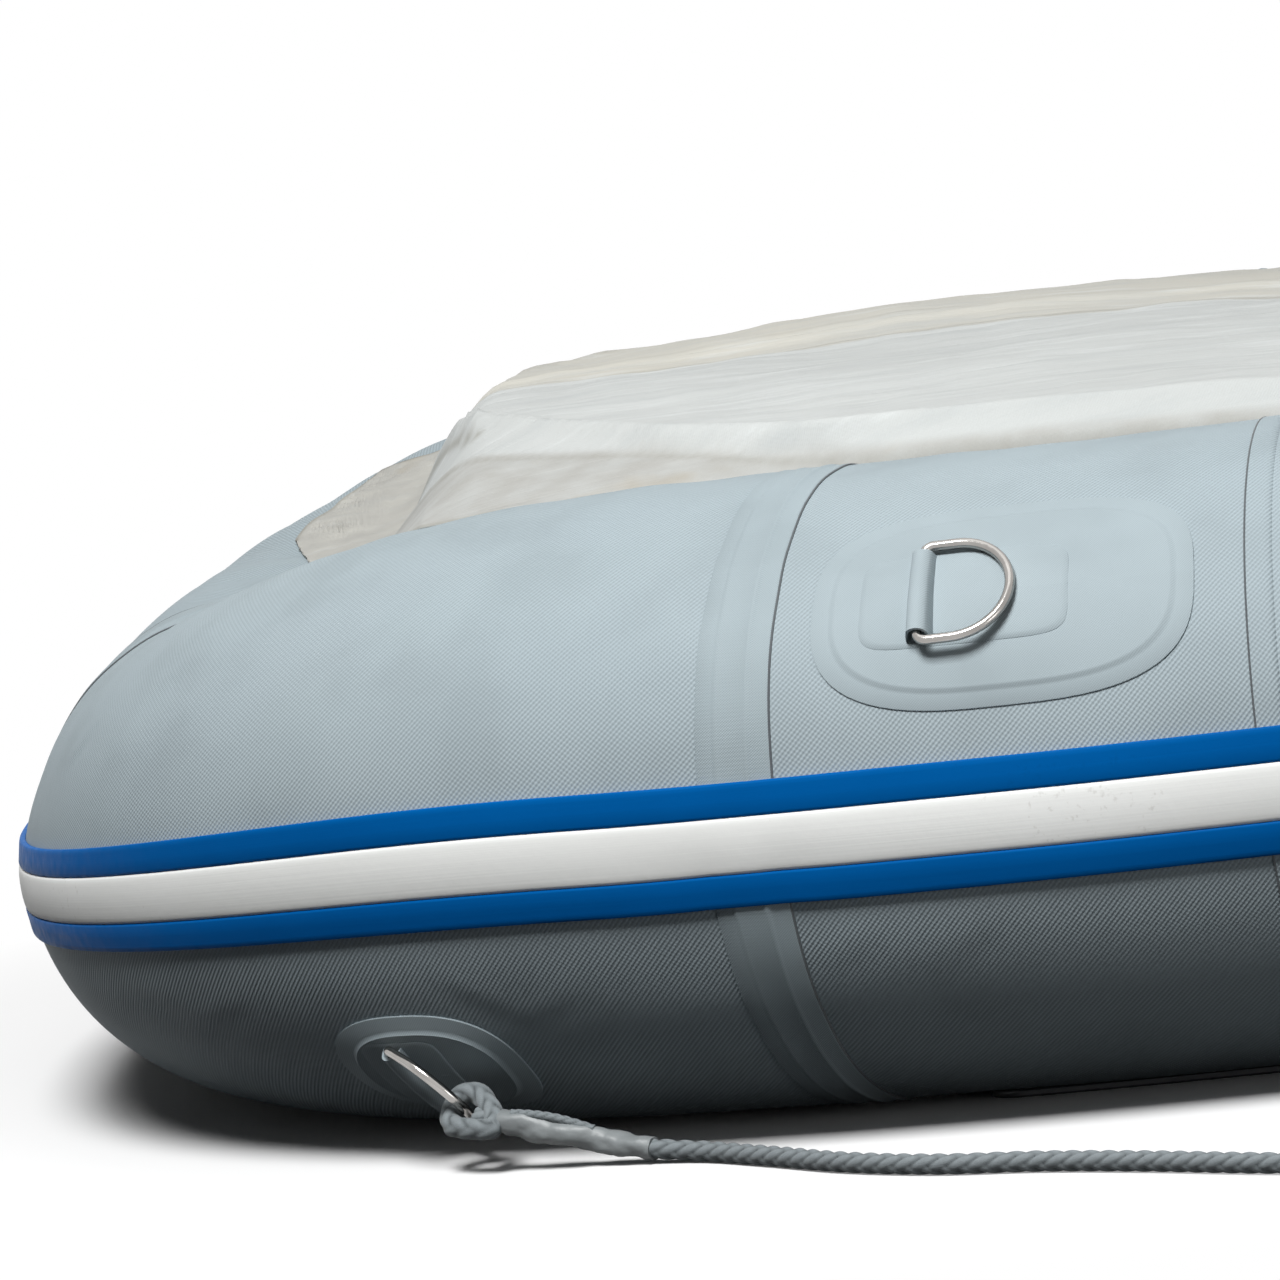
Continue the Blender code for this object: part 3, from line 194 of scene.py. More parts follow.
# small creases and dents seen on the near side: distance, angle in degrees, length, width, depth, slant
dents = (
    (0.225, 33, 0.03, 0.006, 0.0011, 1.1),
    (0.31, 45, 0.05, 0.011, 0.0007, 0.6),
    (0.52, -30, 0.05, 0.008, 0.0010, -0.7),
    (0.56, -33, 0.04, 0.007, 0.0008, 0.5),
    (0.30, -27, 0.05, 0.009, 0.0009, -0.5),
    (0.345, -31, 0.05, 0.008, 0.0010, 0.4),
    (0.74, -24, 0.03, 0.006, 0.0008, 0.9),
    (0.80, -25, 0.035, 0.007, 0.0007, 0.8),
    (0.62, 40, 0.05, 0.012, 0.0006, 1.2),
    (0.735, 62, 0.05, 0.010, 0.0007, 1.3),
)
dentReach = 0.08  # no dent is felt further away than this


def skinRelief(distance, around):
    along = abs(distance)
    side = 1 if distance >= 0 else -1
    if along > coneStart:
        return 0
    across = around * tubeRadius
    lift = relief["soft"] * noiseAt(distance * 5, math.cos(around) * 1.3, math.sin(around) * 1.3 + side * 7)
    # the cloth draws in at the shoulder seam and puckers beside it
    off = along - shoulder
    lift -= relief["shoulderDraw"] * nearby(off, 0.03)
    pucker = noiseAt(off * 9 + side * 3, across * 24, 3.7)
    lift += relief["shoulderPucker"] * pucker * math.exp(-abs(off) / 0.04) * (1 - nearby(off, 0.014))
    # the nose seam pulls the same way, and draws the upper nose back between the two bow panels
    upperNose = smoothStep((around - 0.05) / 0.45) * smoothStep((2.2 - around) / 0.5)
    lift -= relief["noseDraw"] * upperNose * nearby(along, 0.17)
    lift += relief["nosePucker"] * noiseAt(distance * 6, across * 19, 9.1) * math.exp(-along / 0.05)
    # along the crest: ripples on the far side, a fuller panel with fewer ripples on the near side
    if side < 0 and along < 0.75:
        crest = nearby(around - math.radians(85), 0.45)
        lift += relief["farCrestRipple"] * crest * noiseAt(along * 26, across * 9, 1.3)
    elif along < 0.9:
        lift += relief["nearCrest"] * nearby(around - math.radians(98), 0.5) * nearby(along - 0.27, 0.16)
        crest = nearby(around - math.radians(96), 0.3)
        lift += relief["nearCrestRipple"] * crest * noiseAt(along * 24, across * 8, 5.3)
    for at, angle, length, width, depth, slant in dents:
        dx, dy = along - at, across - math.radians(angle) * tubeRadius
        if side < 0 or abs(dx) > dentReach or abs(dy) > dentReach:
            continue
        onward = dx * math.cos(slant) + dy * math.sin(slant)
        beside = -dx * math.sin(slant) + dy * math.cos(slant)
        hollow = nearby(beside, width) - 0.6 * nearby(beside - width * 1.4, width)
        lift -= depth * nearby(onward, length * 0.5) * hollow
    return lift


def onTube(distance, around, height=0.0):
    centre, outboard, radius = tubePlace(distance)
    reach = radius * boat["skinShare"] + height + skinRelief(distance, around)
    return centre + reach * (math.cos(around) * outboard + math.sin(around) * up)


# mesh helpers: pieces on the tube are modelled flat, with x along the tube, y round it and z off its skin,
# and then wrapped


def gridFrom(columns, rows, flatPlace):
    shape = bmesh.new()
    bmesh.ops.create_grid(shape, x_segments=len(columns) - 1, y_segments=len(rows) - 1, size=0.5)
    for vert in shape.verts:
        column = columns[round((vert.co.x + 0.5) * (len(columns) - 1))]
        row = rows[round((vert.co.y + 0.5) * (len(rows) - 1))]
        vert.co = flatPlace(column, row)
    return shape


def keepFlatMap(shape, side=1):
    flatMap = shape.loops.layers.uv.new("flat")
    for face in shape.faces:
        for loop in face.loops:
            loop[flatMap].uv = (side * loop.vert.co.x, loop.vert.co.y)


def wrapOnTube(shape, side=1):
    keepFlatMap(shape, side)
    for vert in shape.verts:
        vert.co = onTube(side * vert.co.x, vert.co.y / tubeRadius, vert.co.z)


def closeUp(shape, merge=1e-6, fill=True):
    # merges the seam where a sheet was rolled up, then fills its open ends
    bmesh.ops.remove_doubles(shape, verts=shape.verts, dist=merge)
    ends = [edge for edge in shape.edges if edge.is_boundary]
    if fill and ends:
        bmesh.ops.holes_fill(shape, edges=ends, sides=0)


def ringLoft(count, rings, placeAt, caps=True, closed=False, mapAt=None):
    # rings of points, one after another; placeAt gives each point from its ring and its turn
    rings = list(rings)
    last = len(rings) - (0 if closed else 1)
    shape = bmesh.new()
    bmesh.ops.create_grid(shape, x_segments=last, y_segments=count, size=0.5)
    turns = shape.verts.layers.float.new("turn")
    alongs = shape.verts.layers.float.new("along")
    for vert in shape.verts:
        vert[alongs] = round((vert.co.x + 0.5) * last)
        vert[turns] = 2 * math.pi * round((vert.co.y + 0.5) * count) / count
    if mapAt:
        flatMap = shape.loops.layers.uv.new("flat")
        for face in shape.faces:
            for loop in face.loops:
                loop[flatMap].uv = mapAt(int(loop.vert[alongs]), loop.vert[turns])
    for vert in shape.verts:
        vert.co = placeAt(rings[int(vert[alongs]) % len(rings)], vert[turns] % (2 * math.pi))
    closeUp(shape, 1e-7, caps)
    return shape


def addPiece(name, shape, material, body="boat", sharpAngle=40, merge=1e-6, turnOut=True):
    if merge:
        bmesh.ops.remove_doubles(shape, verts=shape.verts, dist=merge)
    if turnOut:
        bmesh.ops.recalc_face_normals(shape, faces=shape.faces)
    data = bpy.data.meshes.new(name)
    shape.to_mesh(data)
    shape.free()
    data.shade_smooth()
    data.set_sharp_from_angle(angle=math.radians(sharpAngle))
    piece = bpy.data.objects.new(name, data)
    bpy.context.scene.collection.objects.link(piece)
    data.materials.append(material)
    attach(piece, body)
    return piece


def evenSteps(start, end, count):
    return [start + (end - start) * step / count for step in range(count + 1)]


def mirrored(outline):
    return [(-across, height) for across, height in reversed(outline)]


def runLengths(points):
    lengths = [0.0]
    for start, end in zip(points, points[1:]):
        lengths.append(lengths[-1] + (end - start).length)
    return lengths


def pathLength(points):
    return runLengths(points)[-1]


def evenPoints(points, count):
    # count equal steps along a line of points
    lengths = runLengths(points)
    route, index = [], 0
    for step in range(count + 1):
        target = lengths[-1] * step / count
        while index < len(points) - 2 and lengths[index + 1] < target:
            index += 1
        share = (target - lengths[index]) / max(1e-9, lengths[index + 1] - lengths[index])
        route.append(points[index].lerp(points[index + 1], share))
    return route


def smoothLine(points, spacing):
    # evenly spaced points on one smooth curve through the given ones
    padded = [points[0] * 2 - points[1], *points, points[-1] * 2 - points[-2]]
    fine = []
    for index in range(1, len(padded) - 2):
        before, start, end, after = padded[index - 1 : index + 3]
        for step in range(24):
            share = step / 24
            straight = 2 * start + (end - before) * share
            bend = (2 * before - 5 * start + 4 * end - after) * share**2
            twist = (3 * start - before - 3 * end + after) * share**3
            fine.append(0.5 * (straight + bend + twist))
    fine.append(points[-1])
    return evenPoints(fine, max(2, round(pathLength(fine) / spacing)))


def carriedFrames(points, closed=False):
    # two directions across the path at every point, carried along it without twisting
    count = len(points)
    headings = []
    for index in range(count):
        if closed:
            ahead = points[(index + 1) % count] - points[index - 1]
        else:
            ahead = points[min(index + 1, count - 1)] - points[max(index - 1, 0)]
        headings.append(ahead.normalized())
    steep = abs(headings[0].z) > 0.9
    across = headings[0].orthogonal().normalized() if steep else headings[0].cross(up).normalized()
    frames = []
    for heading in headings:
        across = (across - heading * across.dot(heading)).normalized()
        frames.append((across.copy(), heading.cross(across)))
    return frames


def rodAlong(points, count, radiusAt, closed=False, lowestZ=None):
    # a round rod or rope along points; radiusAt(step, turn) gives its radius there
    frames = carriedFrames(points, closed)
    lengths = runLengths(points)

    def place(step, turn):
        across, upright = frames[step]
        radius = radiusAt(step, turn)
        spot = points[step] + radius * (math.cos(turn) * across + math.sin(turn) * upright)
        if lowestZ is not None and spot.z < lowestZ:
            spot.z = lowestZ
        return spot

    def flatPlace(step, turn):
        along = lengths[step] if step < len(lengths) else lengths[-1] + lengths[1]
        return (along, turn / (2 * math.pi))

    return ringLoft(count, range(len(points)), place, not closed, closed, flatPlace)


# node helpers


def feed(tree, socket, value):
    if isinstance(value, bpy.types.NodeSocket):
        tree.links.new(value, socket)
    else:
        socket.default_value = value


def putNode(tree, kind, inputs=None, **settings):
    made = tree.nodes.new(kind)
    for key, value in settings.items():
        setattr(made, key, value)
    for key, value in (inputs or {}).items():
        feed(tree, made.inputs[key], value)
    return made


def mathNode(tree, operation, first, second=0.0, third=0.0):
    return putNode(tree, "ShaderNodeMath", {0: first, 1: second, 2: third}, operation=operation).outputs[0]


def noiseNode(tree, vector, scale, detail, **more):
    inputs = {"Vector": vector, "Scale": scale, "Detail": detail, **more}
    return putNode(tree, "ShaderNodeTexNoise", inputs).outputs[0]


def waveNode(tree, vector, scale, direction="X", distortion=0.0):
    inputs = {"Vector": vector, "Scale": scale, "Distortion": distortion}
    return putNode(tree, "ShaderNodeTexWave", inputs, bands_direction=direction).outputs[1]


def spread(tree, value, low, high, start=0.3, end=0.7):
    # low where value is at start or less, high where it is at end or more
    return putNode(tree, "ShaderNodeMapRange", {0: value, 1: start, 2: end, 3: low, 4: high}).outputs[0]


def blendColours(tree, share, colourA, colourB):
    made = putNode(tree, "ShaderNodeMix", data_type="RGBA", blend_type="MIX", clamp_factor=True)
    feed(tree, made.inputs[0], share)
    for socket, colour in ((made.inputs[6], colourA), (made.inputs[7], colourB)):
        feed(tree, socket, (*colour, 1) if isinstance(colour, tuple) else colour)
    return made.outputs[2]


def shadeOf(colour, share, more=0.0):
    return tuple(min(1, part * share + more) for part in colour)


def flatCoordinates(tree):
    return putNode(tree, "ShaderNodeUVMap", uv_map="flat").outputs[0]


def objectCoordinates(tree):
    return putNode(tree, "ShaderNodeTexCoord").outputs["Object"]


def stretchedSpace(tree, vector, scale, turn=(0, 0, 0)):
    return putNode(tree, "ShaderNodeMapping", {"Vector": vector, "Scale": scale, "Rotation": turn}).outputs[0]


def pieceMark(tree, name):
    return putNode(tree, "ShaderNodeAttribute", attribute_name=name).outputs["Fac"]


def putFinish(tree, shader, colour, rough):
    tree.links.new(colour, shader.inputs["Base Color"])
    tree.links.new(rough, shader.inputs["Roughness"])


def putBump(tree, shader, height, distance, strength=1.0, under=None):
    inputs = {"Height": height, "Distance": distance, "Strength": strength}
    if under is not None:
        inputs["Normal"] = under
    bump = putNode(tree, "ShaderNodeBump", inputs)
    tree.links.new(bump.outputs[0], shader.inputs["Normal"])
    return bump.outputs[0]


# shared effects, each a node group: cloth weave, patches and specks, raised edges for wear and for painted
# highlights


def startGroup(name, inputs, outputs):
    group = bpy.data.node_groups.new(name, "ShaderNodeTree")
    for label, value in inputs.items():
        kind = "NodeSocketVector" if value is None else "NodeSocketFloat"
        socket = group.interface.new_socket(name=label, in_out="INPUT", socket_type=kind)
        if value is not None:
            socket.default_value = value
    for label in outputs:
        group.interface.new_socket(name=label, in_out="OUTPUT", socket_type="NodeSocketFloat")
    return group, group.nodes.new("NodeGroupInput").outputs, group.nodes.new("NodeGroupOutput").inputs


def makeTwillGroup():
    # fine diagonal rows of a coated cloth, with a weaker set across them
    group, given, result = startGroup(
        "twill", {"Vector": None, "Rows per metre": 500.0, "Lean": 0.9}, ("Height", "Mask")
    )
    inputs = {"Vector": given["Vector"], "Angle": given["Lean"]}
    turned = putNode(group, "ShaderNodeVectorRotate", inputs, rotation_type="Z_AXIS").outputs[0]
    scale = mathNode(group, "MULTIPLY", given["Rows per metre"], math.pi / 10)
    rows = waveNode(group, turned, scale)
    cross = waveNode(group, turned, scale, "Y")
    weight = spread(group, noiseNode(group, given["Vector"], 14.0, 2.0), 0.45, 1.0, 0.35, 0.65)
    both = mathNode(group, "MULTIPLY_ADD", cross, 0.35, rows)
    group.links.new(both, result["Height"])
    group.links.new(mathNode(group, "MULTIPLY", both, weight), result["Mask"])
    return group


def makeMottleGroup():
    # broad and fine patches, from 0 to 1, and a few specks
    group, given, result = startGroup(
        "mottle", {"Vector": None, "Broad": 4.0, "Fine": 60.0}, ("Broad", "Fine", "Specks")
    )
    broad = noiseNode(group, given["Vector"], given["Broad"], 4.0)
    fine = noiseNode(group, given["Vector"], given["Fine"], 3.0)
    dots = noiseNode(group, given["Vector"], 190.0, 2.0, Roughness=0.7)
    specks = spread(group, mathNode(group, "MULTIPLY", dots, broad), 0.0, 1.0, 0.40, 0.47)
    group.links.new(broad, result["Broad"])
    group.links.new(fine, result["Fine"])
    group.links.new(specks, result["Specks"])
    return group


def makeEdgeGroup():
    # 1 along raised edges, 0 on flats and in hollows
    group, given, result = startGroup("edgeWearAndHighlight", {"Start": 0.52, "End": 0.6}, ("Edge",))
    pointiness = putNode(group, "ShaderNodeNewGeometry").outputs["Pointiness"]
    group.links.new(spread(group, pointiness, 0.0, 1.0, given["Start"], given["End"]), result["Edge"])
    return group


twillGroup = makeTwillGroup()
mottleGroup = makeMottleGroup()
edgeGroup = makeEdgeGroup()


def twillOf(tree, flat, rows, lean):
    inputs = {"Vector": flat, "Rows per metre": rows, "Lean": lean}
    return putNode(tree, "ShaderNodeGroup", inputs, node_tree=twillGroup).outputs


def mottleOf(tree, solid, broad, fine):
    inputs = {"Vector": solid, "Broad": broad, "Fine": fine}
    return putNode(tree, "ShaderNodeGroup", inputs, node_tree=mottleGroup).outputs


def edgeOf(tree, start, end, share):
    inputs = {"Start": start, "End": end}
    edge = putNode(tree, "ShaderNodeGroup", inputs, node_tree=edgeGroup).outputs["Edge"]
    return mathNode(tree, "MULTIPLY", edge, share)


# materials


def startMaterial(name, constants):
    material = bpy.data.materials.new(name)
    material.use_nodes = True
    shader = material.node_tree.nodes["Principled BSDF"]
    for label, value in constants.items():
        shader.inputs[label].default_value = value
    return material, material.node_tree, shader


def coatedFabric(name, colour, deeper, rows=440.0, lean=0.7, roughness=(0.46, 0.6), weave=0.0003, ribs=False):
    material, tree, shader = startMaterial(name, {"Specular IOR Level": 0.03})
    flat = flatCoordinates(tree)
    twill = twillOf(tree, flat, rows, lean)
    mottle = mottleOf(tree, objectCoordinates(tree), 3.2, 48.0)
    base = blendColours(tree, spread(tree, mottle["Broad"], 0.0, 1.0), deeper, colour)
    thread = spread(tree, twill["Mask"], 0.0, 1.0, -0.75, 0.75)
    base = blendColours(tree, thread, shadeOf(colour, 0.5), base)
    base = blendColours(tree, spread(tree, mottle["Fine"], 0.0, 0.1, 0.4, 0.75), base, shadeOf(colour, 0.8))
    putFinish(tree, shader, base, spread(tree, mottle["Broad"], *roughness))
    height = twill["Height"]
    if ribs:
        height = mathNode(tree, "MULTIPLY_ADD", waveNode(tree, flat, 120.0, "Y", 0.4), 0.45, height)
    under = putBump(tree, shader, mottle["Broad"], 0.0025, 0.7)
    putBump(tree, shader, height, weave, 0.85, under)
    return material


def strakeRubber(name, colour, deeper, dirt, dirtShare):
    material, tree, shader = startMaterial(name, {"Specular IOR Level": 0.015})
    mottle = mottleOf(tree, objectCoordinates(tree), 5.0, 120.0)
    base = blendColours(tree, spread(tree, mottle["Broad"], 0.0, 1.0), deeper, colour)
    base = blendColours(tree, mathNode(tree, "MULTIPLY", mottle["Specks"], dirtShare), base, dirt)
    # paler along the raised rails' edges: a painted highlight
    base = blendColours(tree, edgeOf(tree, 0.53, 0.62, 0.3), base, shadeOf(colour, 1.25, 0.01))
    putFinish(tree, shader, base, spread(tree, mottle["Fine"], 0.34, 0.5))
    # faint lines left along it by the die it was pressed through
    pressed = noiseNode(tree, stretchedSpace(tree, flatCoordinates(tree), (3.0, 900.0, 1.0)), 1.0, 2.0)
    under = putBump(tree, shader, mottle["Fine"], 0.00018, 0.6)
    putBump(tree, shader, pressed, 0.00012, 0.5, under)
    return material


coverTones = {
    "near": (0.56, 0.58, 0.57),
    "far": (0.565, 0.55, 0.49),
    "patch": (0.5, 0.515, 0.505),
    # streak and bright: painted shade and painted highlights of the deck's wrinkles
    "streak": (0.45, 0.475, 0.475),
    "bright": (0.66, 0.685, 0.68),
    "paintedWallShade": (0.4, 0.395, 0.37),
    "stain": (0.4, 0.33, 0.22),
    "weave": (0.4, 0.405, 0.39),
    # thread colours the sewn seams and also the painted shade by the folds
    "thread": (0.27, 0.26, 0.22),
}


def coverCloth():
    constants = {"Specular IOR Level": 0.12, "Sheen Weight": 0.05, "Sheen Roughness": 0.6}
    material, tree, shader = startMaterial("coverCloth", constants)
    solid = objectCoordinates(tree)
    twill = twillOf(tree, flatCoordinates(tree), 620.0, 0.6)
    mottle = mottleOf(tree, solid, 6.0, 40.0)
    where = putNode(tree, "ShaderNodeSeparateXYZ", {0: solid})
    farPanel = spread(tree, where.outputs[1], 0.0, 1.0, 0.0, -0.006)
    base = blendColours(tree, farPanel, coverTones["near"], coverTones["far"])
    base = blendColours(tree, spread(tree, mottle["Broad"], 0.0, 0.4), base, coverTones["patch"])
    # lighter and darker streaks across the deck: painted highlights and painted shade of its slack wrinkles
    streakSpace = stretchedSpace(tree, solid, (7.0, 60.0, 12.0), (0, 0, 0.3))
    streaks = noiseNode(tree, streakSpace, 1.0, 5.0, Roughness=0.62)
    base = blendColours(tree, spread(tree, streaks, 0.0, 0.4, 0.5, 0.68), base, coverTones["streak"])
    base = blendColours(tree, spread(tree, streaks, 0.6, 0.0, 0.3, 0.45), base, coverTones["bright"])
    # painted shade on the low band of the side wall by the hem, patchy, with a few brown stains
    low = pieceMark(tree, "low")
    paintedWallShade = mathNode(tree, "MULTIPLY", low, spread(tree, mottle["Fine"], 0.45, 0.9))
    base = blendColours(tree, paintedWallShade, base, coverTones["paintedWallShade"])
    stains = spread(tree, noiseNode(tree, solid, 11.0, 3.0), 0.0, 0.5, 0.6, 0.72)
    base = blendColours(tree, mathNode(tree, "MULTIPLY", stains, low), base, coverTones["stain"])
    base = blendColours(tree, spread(tree, twill["Mask"], 0.0, 1.0, -3.6, 0.6), coverTones["weave"], base)
    # darker along the sewn seams, and painted shade in the hollows by the folds
    seamAndFoldShade = mathNode(tree, "MULTIPLY", pieceMark(tree, "fold"), 0.75)
    base = blendColours(tree, seamAndFoldShade, base, coverTones["thread"])
    putFinish(tree, shader, base, spread(tree, mottle["Broad"], 0.6, 0.78))
    under = putBump(tree, shader, streaks, 0.003, 0.6)
    putBump(tree, shader, twill["Height"], 0.0001, 0.8, under)
    return material


def ropeFibre(name, colour, shade):
    constants = {"Specular IOR Level": 0.3, "Roughness": 0.72, "Sheen Weight": 0.15, "Sheen Roughness": 0.5}
    material, tree, shader = startMaterial(name, constants)
    solid = objectCoordinates(tree)
    mottle = mottleOf(tree, solid, 20.0, 420.0)
    # dark between the strands: painted shade in the braid's grooves
    base = blendColours(tree, spread(tree, pieceMark(tree, "strand"), 0.0, 1.0, 0.15, 0.75), shade, colour)
    base = blendColours(tree, spread(tree, mottle["Fine"], 0.0, 0.35), base, shadeOf(colour, 0.7))
    tree.links.new(base, shader.inputs["Base Color"])
    putBump(tree, shader, noiseNode(tree, solid, 1500.0, 2.0), 0.0004, 0.7)
    return material


def polishedSteel():
    material, tree, shader = startMaterial("polishedSteel", {"Metallic": 1.0})
    mottle = mottleOf(tree, objectCoordinates(tree), 30.0, 380.0)
    patches = spread(tree, mottle["Broad"], 0.0, 1.0)
    base = blendColours(tree, patches, (0.3, 0.285, 0.27), (0.47, 0.455, 0.435))
    base = blendColours(tree, mathNode(tree, "MULTIPLY", mottle["Specks"], 0.35), base, (0.25, 0.2, 0.15))
    putFinish(tree, shader, base, spread(tree, mottle["Fine"], 0.12, 0.22))
    putBump(tree, shader, mottle["Fine"], 0.00002, 0.5)
    return material


def plainGoods(name, colour, deeper, roughness, grain, grainDepth, metallic=0.0, wear=0.25, specular=0.5):
    # moulded plastic, rubber, paint or drawn metal: soft patches, a fine grain and paler edges
    material, tree, shader = startMaterial(name, {"Metallic": metallic, "Specular IOR Level": specular})
    mottle = mottleOf(tree, objectCoordinates(tree), 7.0, grain)
    base = blendColours(tree, spread(tree, mottle["Broad"], 0.0, 1.0), deeper, colour)
    base = blendColours(tree, edgeOf(tree, 0.54, 0.66, wear), base, shadeOf(colour, 1.7, 0.04))
    base = blendColours(tree, mathNode(tree, "MULTIPLY", mottle["Specks"], 0.2), base, shadeOf(colour, 0.5))
    putFinish(tree, shader, base, spread(tree, mottle["Broad"], *roughness))
    putBump(tree, shader, mottle["Fine"], grainDepth, 0.6)
    return material


def paintedBoard():
    # grey paint over plywood, with the grain just telling through
    material, tree, shader = startMaterial("paintedBoard", {"Specular IOR Level": 0.45})
    solid = objectCoordinates(tree)
    mottle = mottleOf(tree, solid, 5.0, 90.0)
    grain = noiseNode(tree, stretchedSpace(tree, solid, (30.0, 2.5, 60.0)), 2.0, 6.0, Distortion=0.6)
    base = blendColours(tree, spread(tree, mottle["Broad"], 0.0, 1.0), (0.43, 0.45, 0.46), (0.5, 0.52, 0.53))
    base = blendColours(tree, spread(tree, grain, 0.0, 0.18, 0.45, 0.65), base, (0.36, 0.37, 0.37))
    base = blendColours(tree, edgeOf(tree, 0.54, 0.66, 0.5), base, (0.42, 0.34, 0.24))
    putFinish(tree, shader, base, spread(tree, mottle["Fine"], 0.38, 0.55))
    under = putBump(tree, shader, mottle["Fine"], 0.0003, 0.4)
    putBump(tree, shader, grain, 0.0006, 0.5, under)
    return material


tubeFabric = coatedFabric("tubeFabric", (0.415, 0.485, 0.515), (0.375, 0.445, 0.478))
tapeFabric = coatedFabric(
    "tapeFabric", (0.405, 0.475, 0.505), (0.37, 0.44, 0.47), rows=820.0, lean=0.78, weave=0.00008
)
ribbedTape = coatedFabric(
    "ribbedTape", (0.41, 0.48, 0.508), (0.37, 0.44, 0.472), rows=900.0, lean=0.78, weave=0.0001, ribs=True
)
patchFabric = coatedFabric(
    "patchFabric", (0.42, 0.492, 0.522), (0.39, 0.46, 0.49), rows=900.0, weave=0.00003
)
floorFabric = coatedFabric(
    "floorFabric", (0.27, 0.3, 0.32), (0.23, 0.26, 0.28), rows=420.0, roughness=(0.5, 0.65)
)
# colour, deeper colour, dirt and how much of it
strakeBlue = strakeRubber(
    "strakeBlue", (0.0005, 0.112, 0.39), (0.0005, 0.096, 0.34), (0.002, 0.05, 0.16), 0.12
)
strakeWhite = strakeRubber("strakeWhite", (0.95, 0.96, 0.94), (0.9, 0.91, 0.885), (0.6, 0.59, 0.55), 0.35)
coverMaterial = coverCloth()
ropeMaterial = ropeFibre("ropeFibre", (0.235, 0.265, 0.278), (0.055, 0.066, 0.07))
steelMaterial = polishedSteel()
boardMaterial = paintedBoard()
# colour, deeper colour, roughness, grain across a metre and its depth
goods = {
    "ropeTape": ((0.27, 0.29, 0.295), (0.22, 0.24, 0.245), (0.4, 0.55), 260.0, 0.0006),
    "tapeEdgeShade": ((0.13, 0.145, 0.15), (0.1, 0.11, 0.12), (0.4, 0.5), 300.0, 0.0001),
    "blackRubber": ((0.045, 0.046, 0.05), (0.03, 0.031, 0.034), (0.5, 0.68), 320.0, 0.0003),
    "stripRubber": ((0.04, 0.045, 0.05), (0.025, 0.028, 0.032), (0.3, 0.45), 200.0, 0.0002),
    "greyPlastic": ((0.34, 0.37, 0.385), (0.3, 0.33, 0.345), (0.36, 0.5), 500.0, 0.00025),
    "blackPlastic": ((0.03, 0.03, 0.032), (0.02, 0.02, 0.022), (0.32, 0.46), 600.0, 0.0002),
    "aluminium": ((0.62, 0.63, 0.64), (0.55, 0.56, 0.575), (0.28, 0.42), 240.0, 0.0001),
    "thread": ((0.62, 0.62, 0.59), (0.55, 0.55, 0.52), (0.7, 0.8), 900.0, 0.0002),
}
tapeWrap = plainGoods("ropeTape", *goods["ropeTape"], wear=0.1)
# dark beads along the tapes' edges: painted shade
tapeEdgeShadeMaterial = plainGoods("tapeEdgeShade", *goods["tapeEdgeShade"], wear=0.0, specular=0.2)
blackRubber = plainGoods("blackRubber", *goods["blackRubber"])
stripRubber = plainGoods("stripRubber", *goods["stripRubber"])
greyPlastic = plainGoods("greyPlastic", *goods["greyPlastic"])
blackPlastic = plainGoods("blackPlastic", *goods["blackPlastic"])
aluminium = plainGoods("aluminium", *goods["aluminium"], metallic=1.0, wear=0.05)
threadMaterial = plainGoods("thread", *goods["thread"], wear=0.0)
print("materials made")

# D-rings, their patches and straps; a patch is two layers of cloth, the upper one a border smaller
rings = {
    "rodRadius": 0.003,
    "innerWidth": 0.062,
    "innerDepth": 0.048,
    "corner": 0.0065,
    "round": 20,
    "places": {"side": (0.79, math.radians(40)), "tow": (0.458, math.radians(-45.3))},
    "towPulled": math.radians(25),
    "towHanging": math.radians(90),
}
patches = {
    "layer": 0.0012,
    "buried": -0.0012,
    "strapThickness": 0.0012,
    "strapFullness": 6.5,
    "round": 72,
    "side": {
        "length": 0.209,
        "width": 0.141,
        "fullness": 3.0,
        "border": 0.011,
        "shift": 0.043,
        "rim": 0.0,
        "strapLength": 0.115,
        "strapWidth": 0.064,
        "strapShift": 0.0225,
    },
    "tow": {
        "length": 0.116,
        "width": 0.102,
        "fullness": 2.5,
        "border": 0.012,
        "shift": 0.011,
        "rim": 0.0007,
        "strapLength": 0.05,
        "strapWidth": 0.064,
        "strapShift": 0.0,
    },
}
# the fold of webbing over a ring's bar
sleeve = {
    "reach": 0.0053,
    "foot": 0.0079,
    "low": -0.0066,
    "wall": 0.0017,
    "clearance": 0.0022,
    "flare": 0.0006,
    "droop": 0.0016,
    "steps": 26,
}


def ringFrame(jointName, distance, around):
    # X aft along the tube, Y along the ring's bar, Z out of the skin
    joint = joints[jointName]
    bar = -Vector(joint["axis"]).normalized()
    aft = 1 if distance > 0 else -1
    along = aft * (onTube(distance + 0.01, around) - onTube(distance - 0.01, around))
    along = (along - bar * along.dot(bar)).normalized()
    axes = Matrix((along, bar, along.cross(bar))).transposed().to_4x4()
    return Matrix.Translation(joint["pos_m"]) @ axes


def superOval(length, width, fullness, turn):
    cosine, sine = math.cos(turn), math.sin(turn)
    x = length / 2 * math.copysign(abs(cosine) ** (2 / fullness), cosine)
    y = width / 2 * math.copysign(abs(sine) ** (2 / fullness), sine)
    return x, y


def steppedPatch(centre, around, length, width, fullness, steps):
    # steps: inset from the outline and height over the skin, from under the middle out and back over the top
    def place(step, turn):
        inset, height = step
        x, y = superOval(length - 2 * inset, width - 2 * inset, fullness, turn)
        return Vector((centre + x, around * tubeRadius + y, height))

    return ringLoft(patches["round"], steps, place)


def filledRings(inner, halfWidth, height):
    buried = patches["buried"]
    fromCentre = [(halfWidth * share, buried) for share in (1, 0.6, 0.3)] + [(0, buried)]
    toCentre = [(inner + (halfWidth - inner) * share, height) for share in (0.15, 0.35, 0.55, 0.75, 0.9, 1)]
    return fromCentre, toCentre


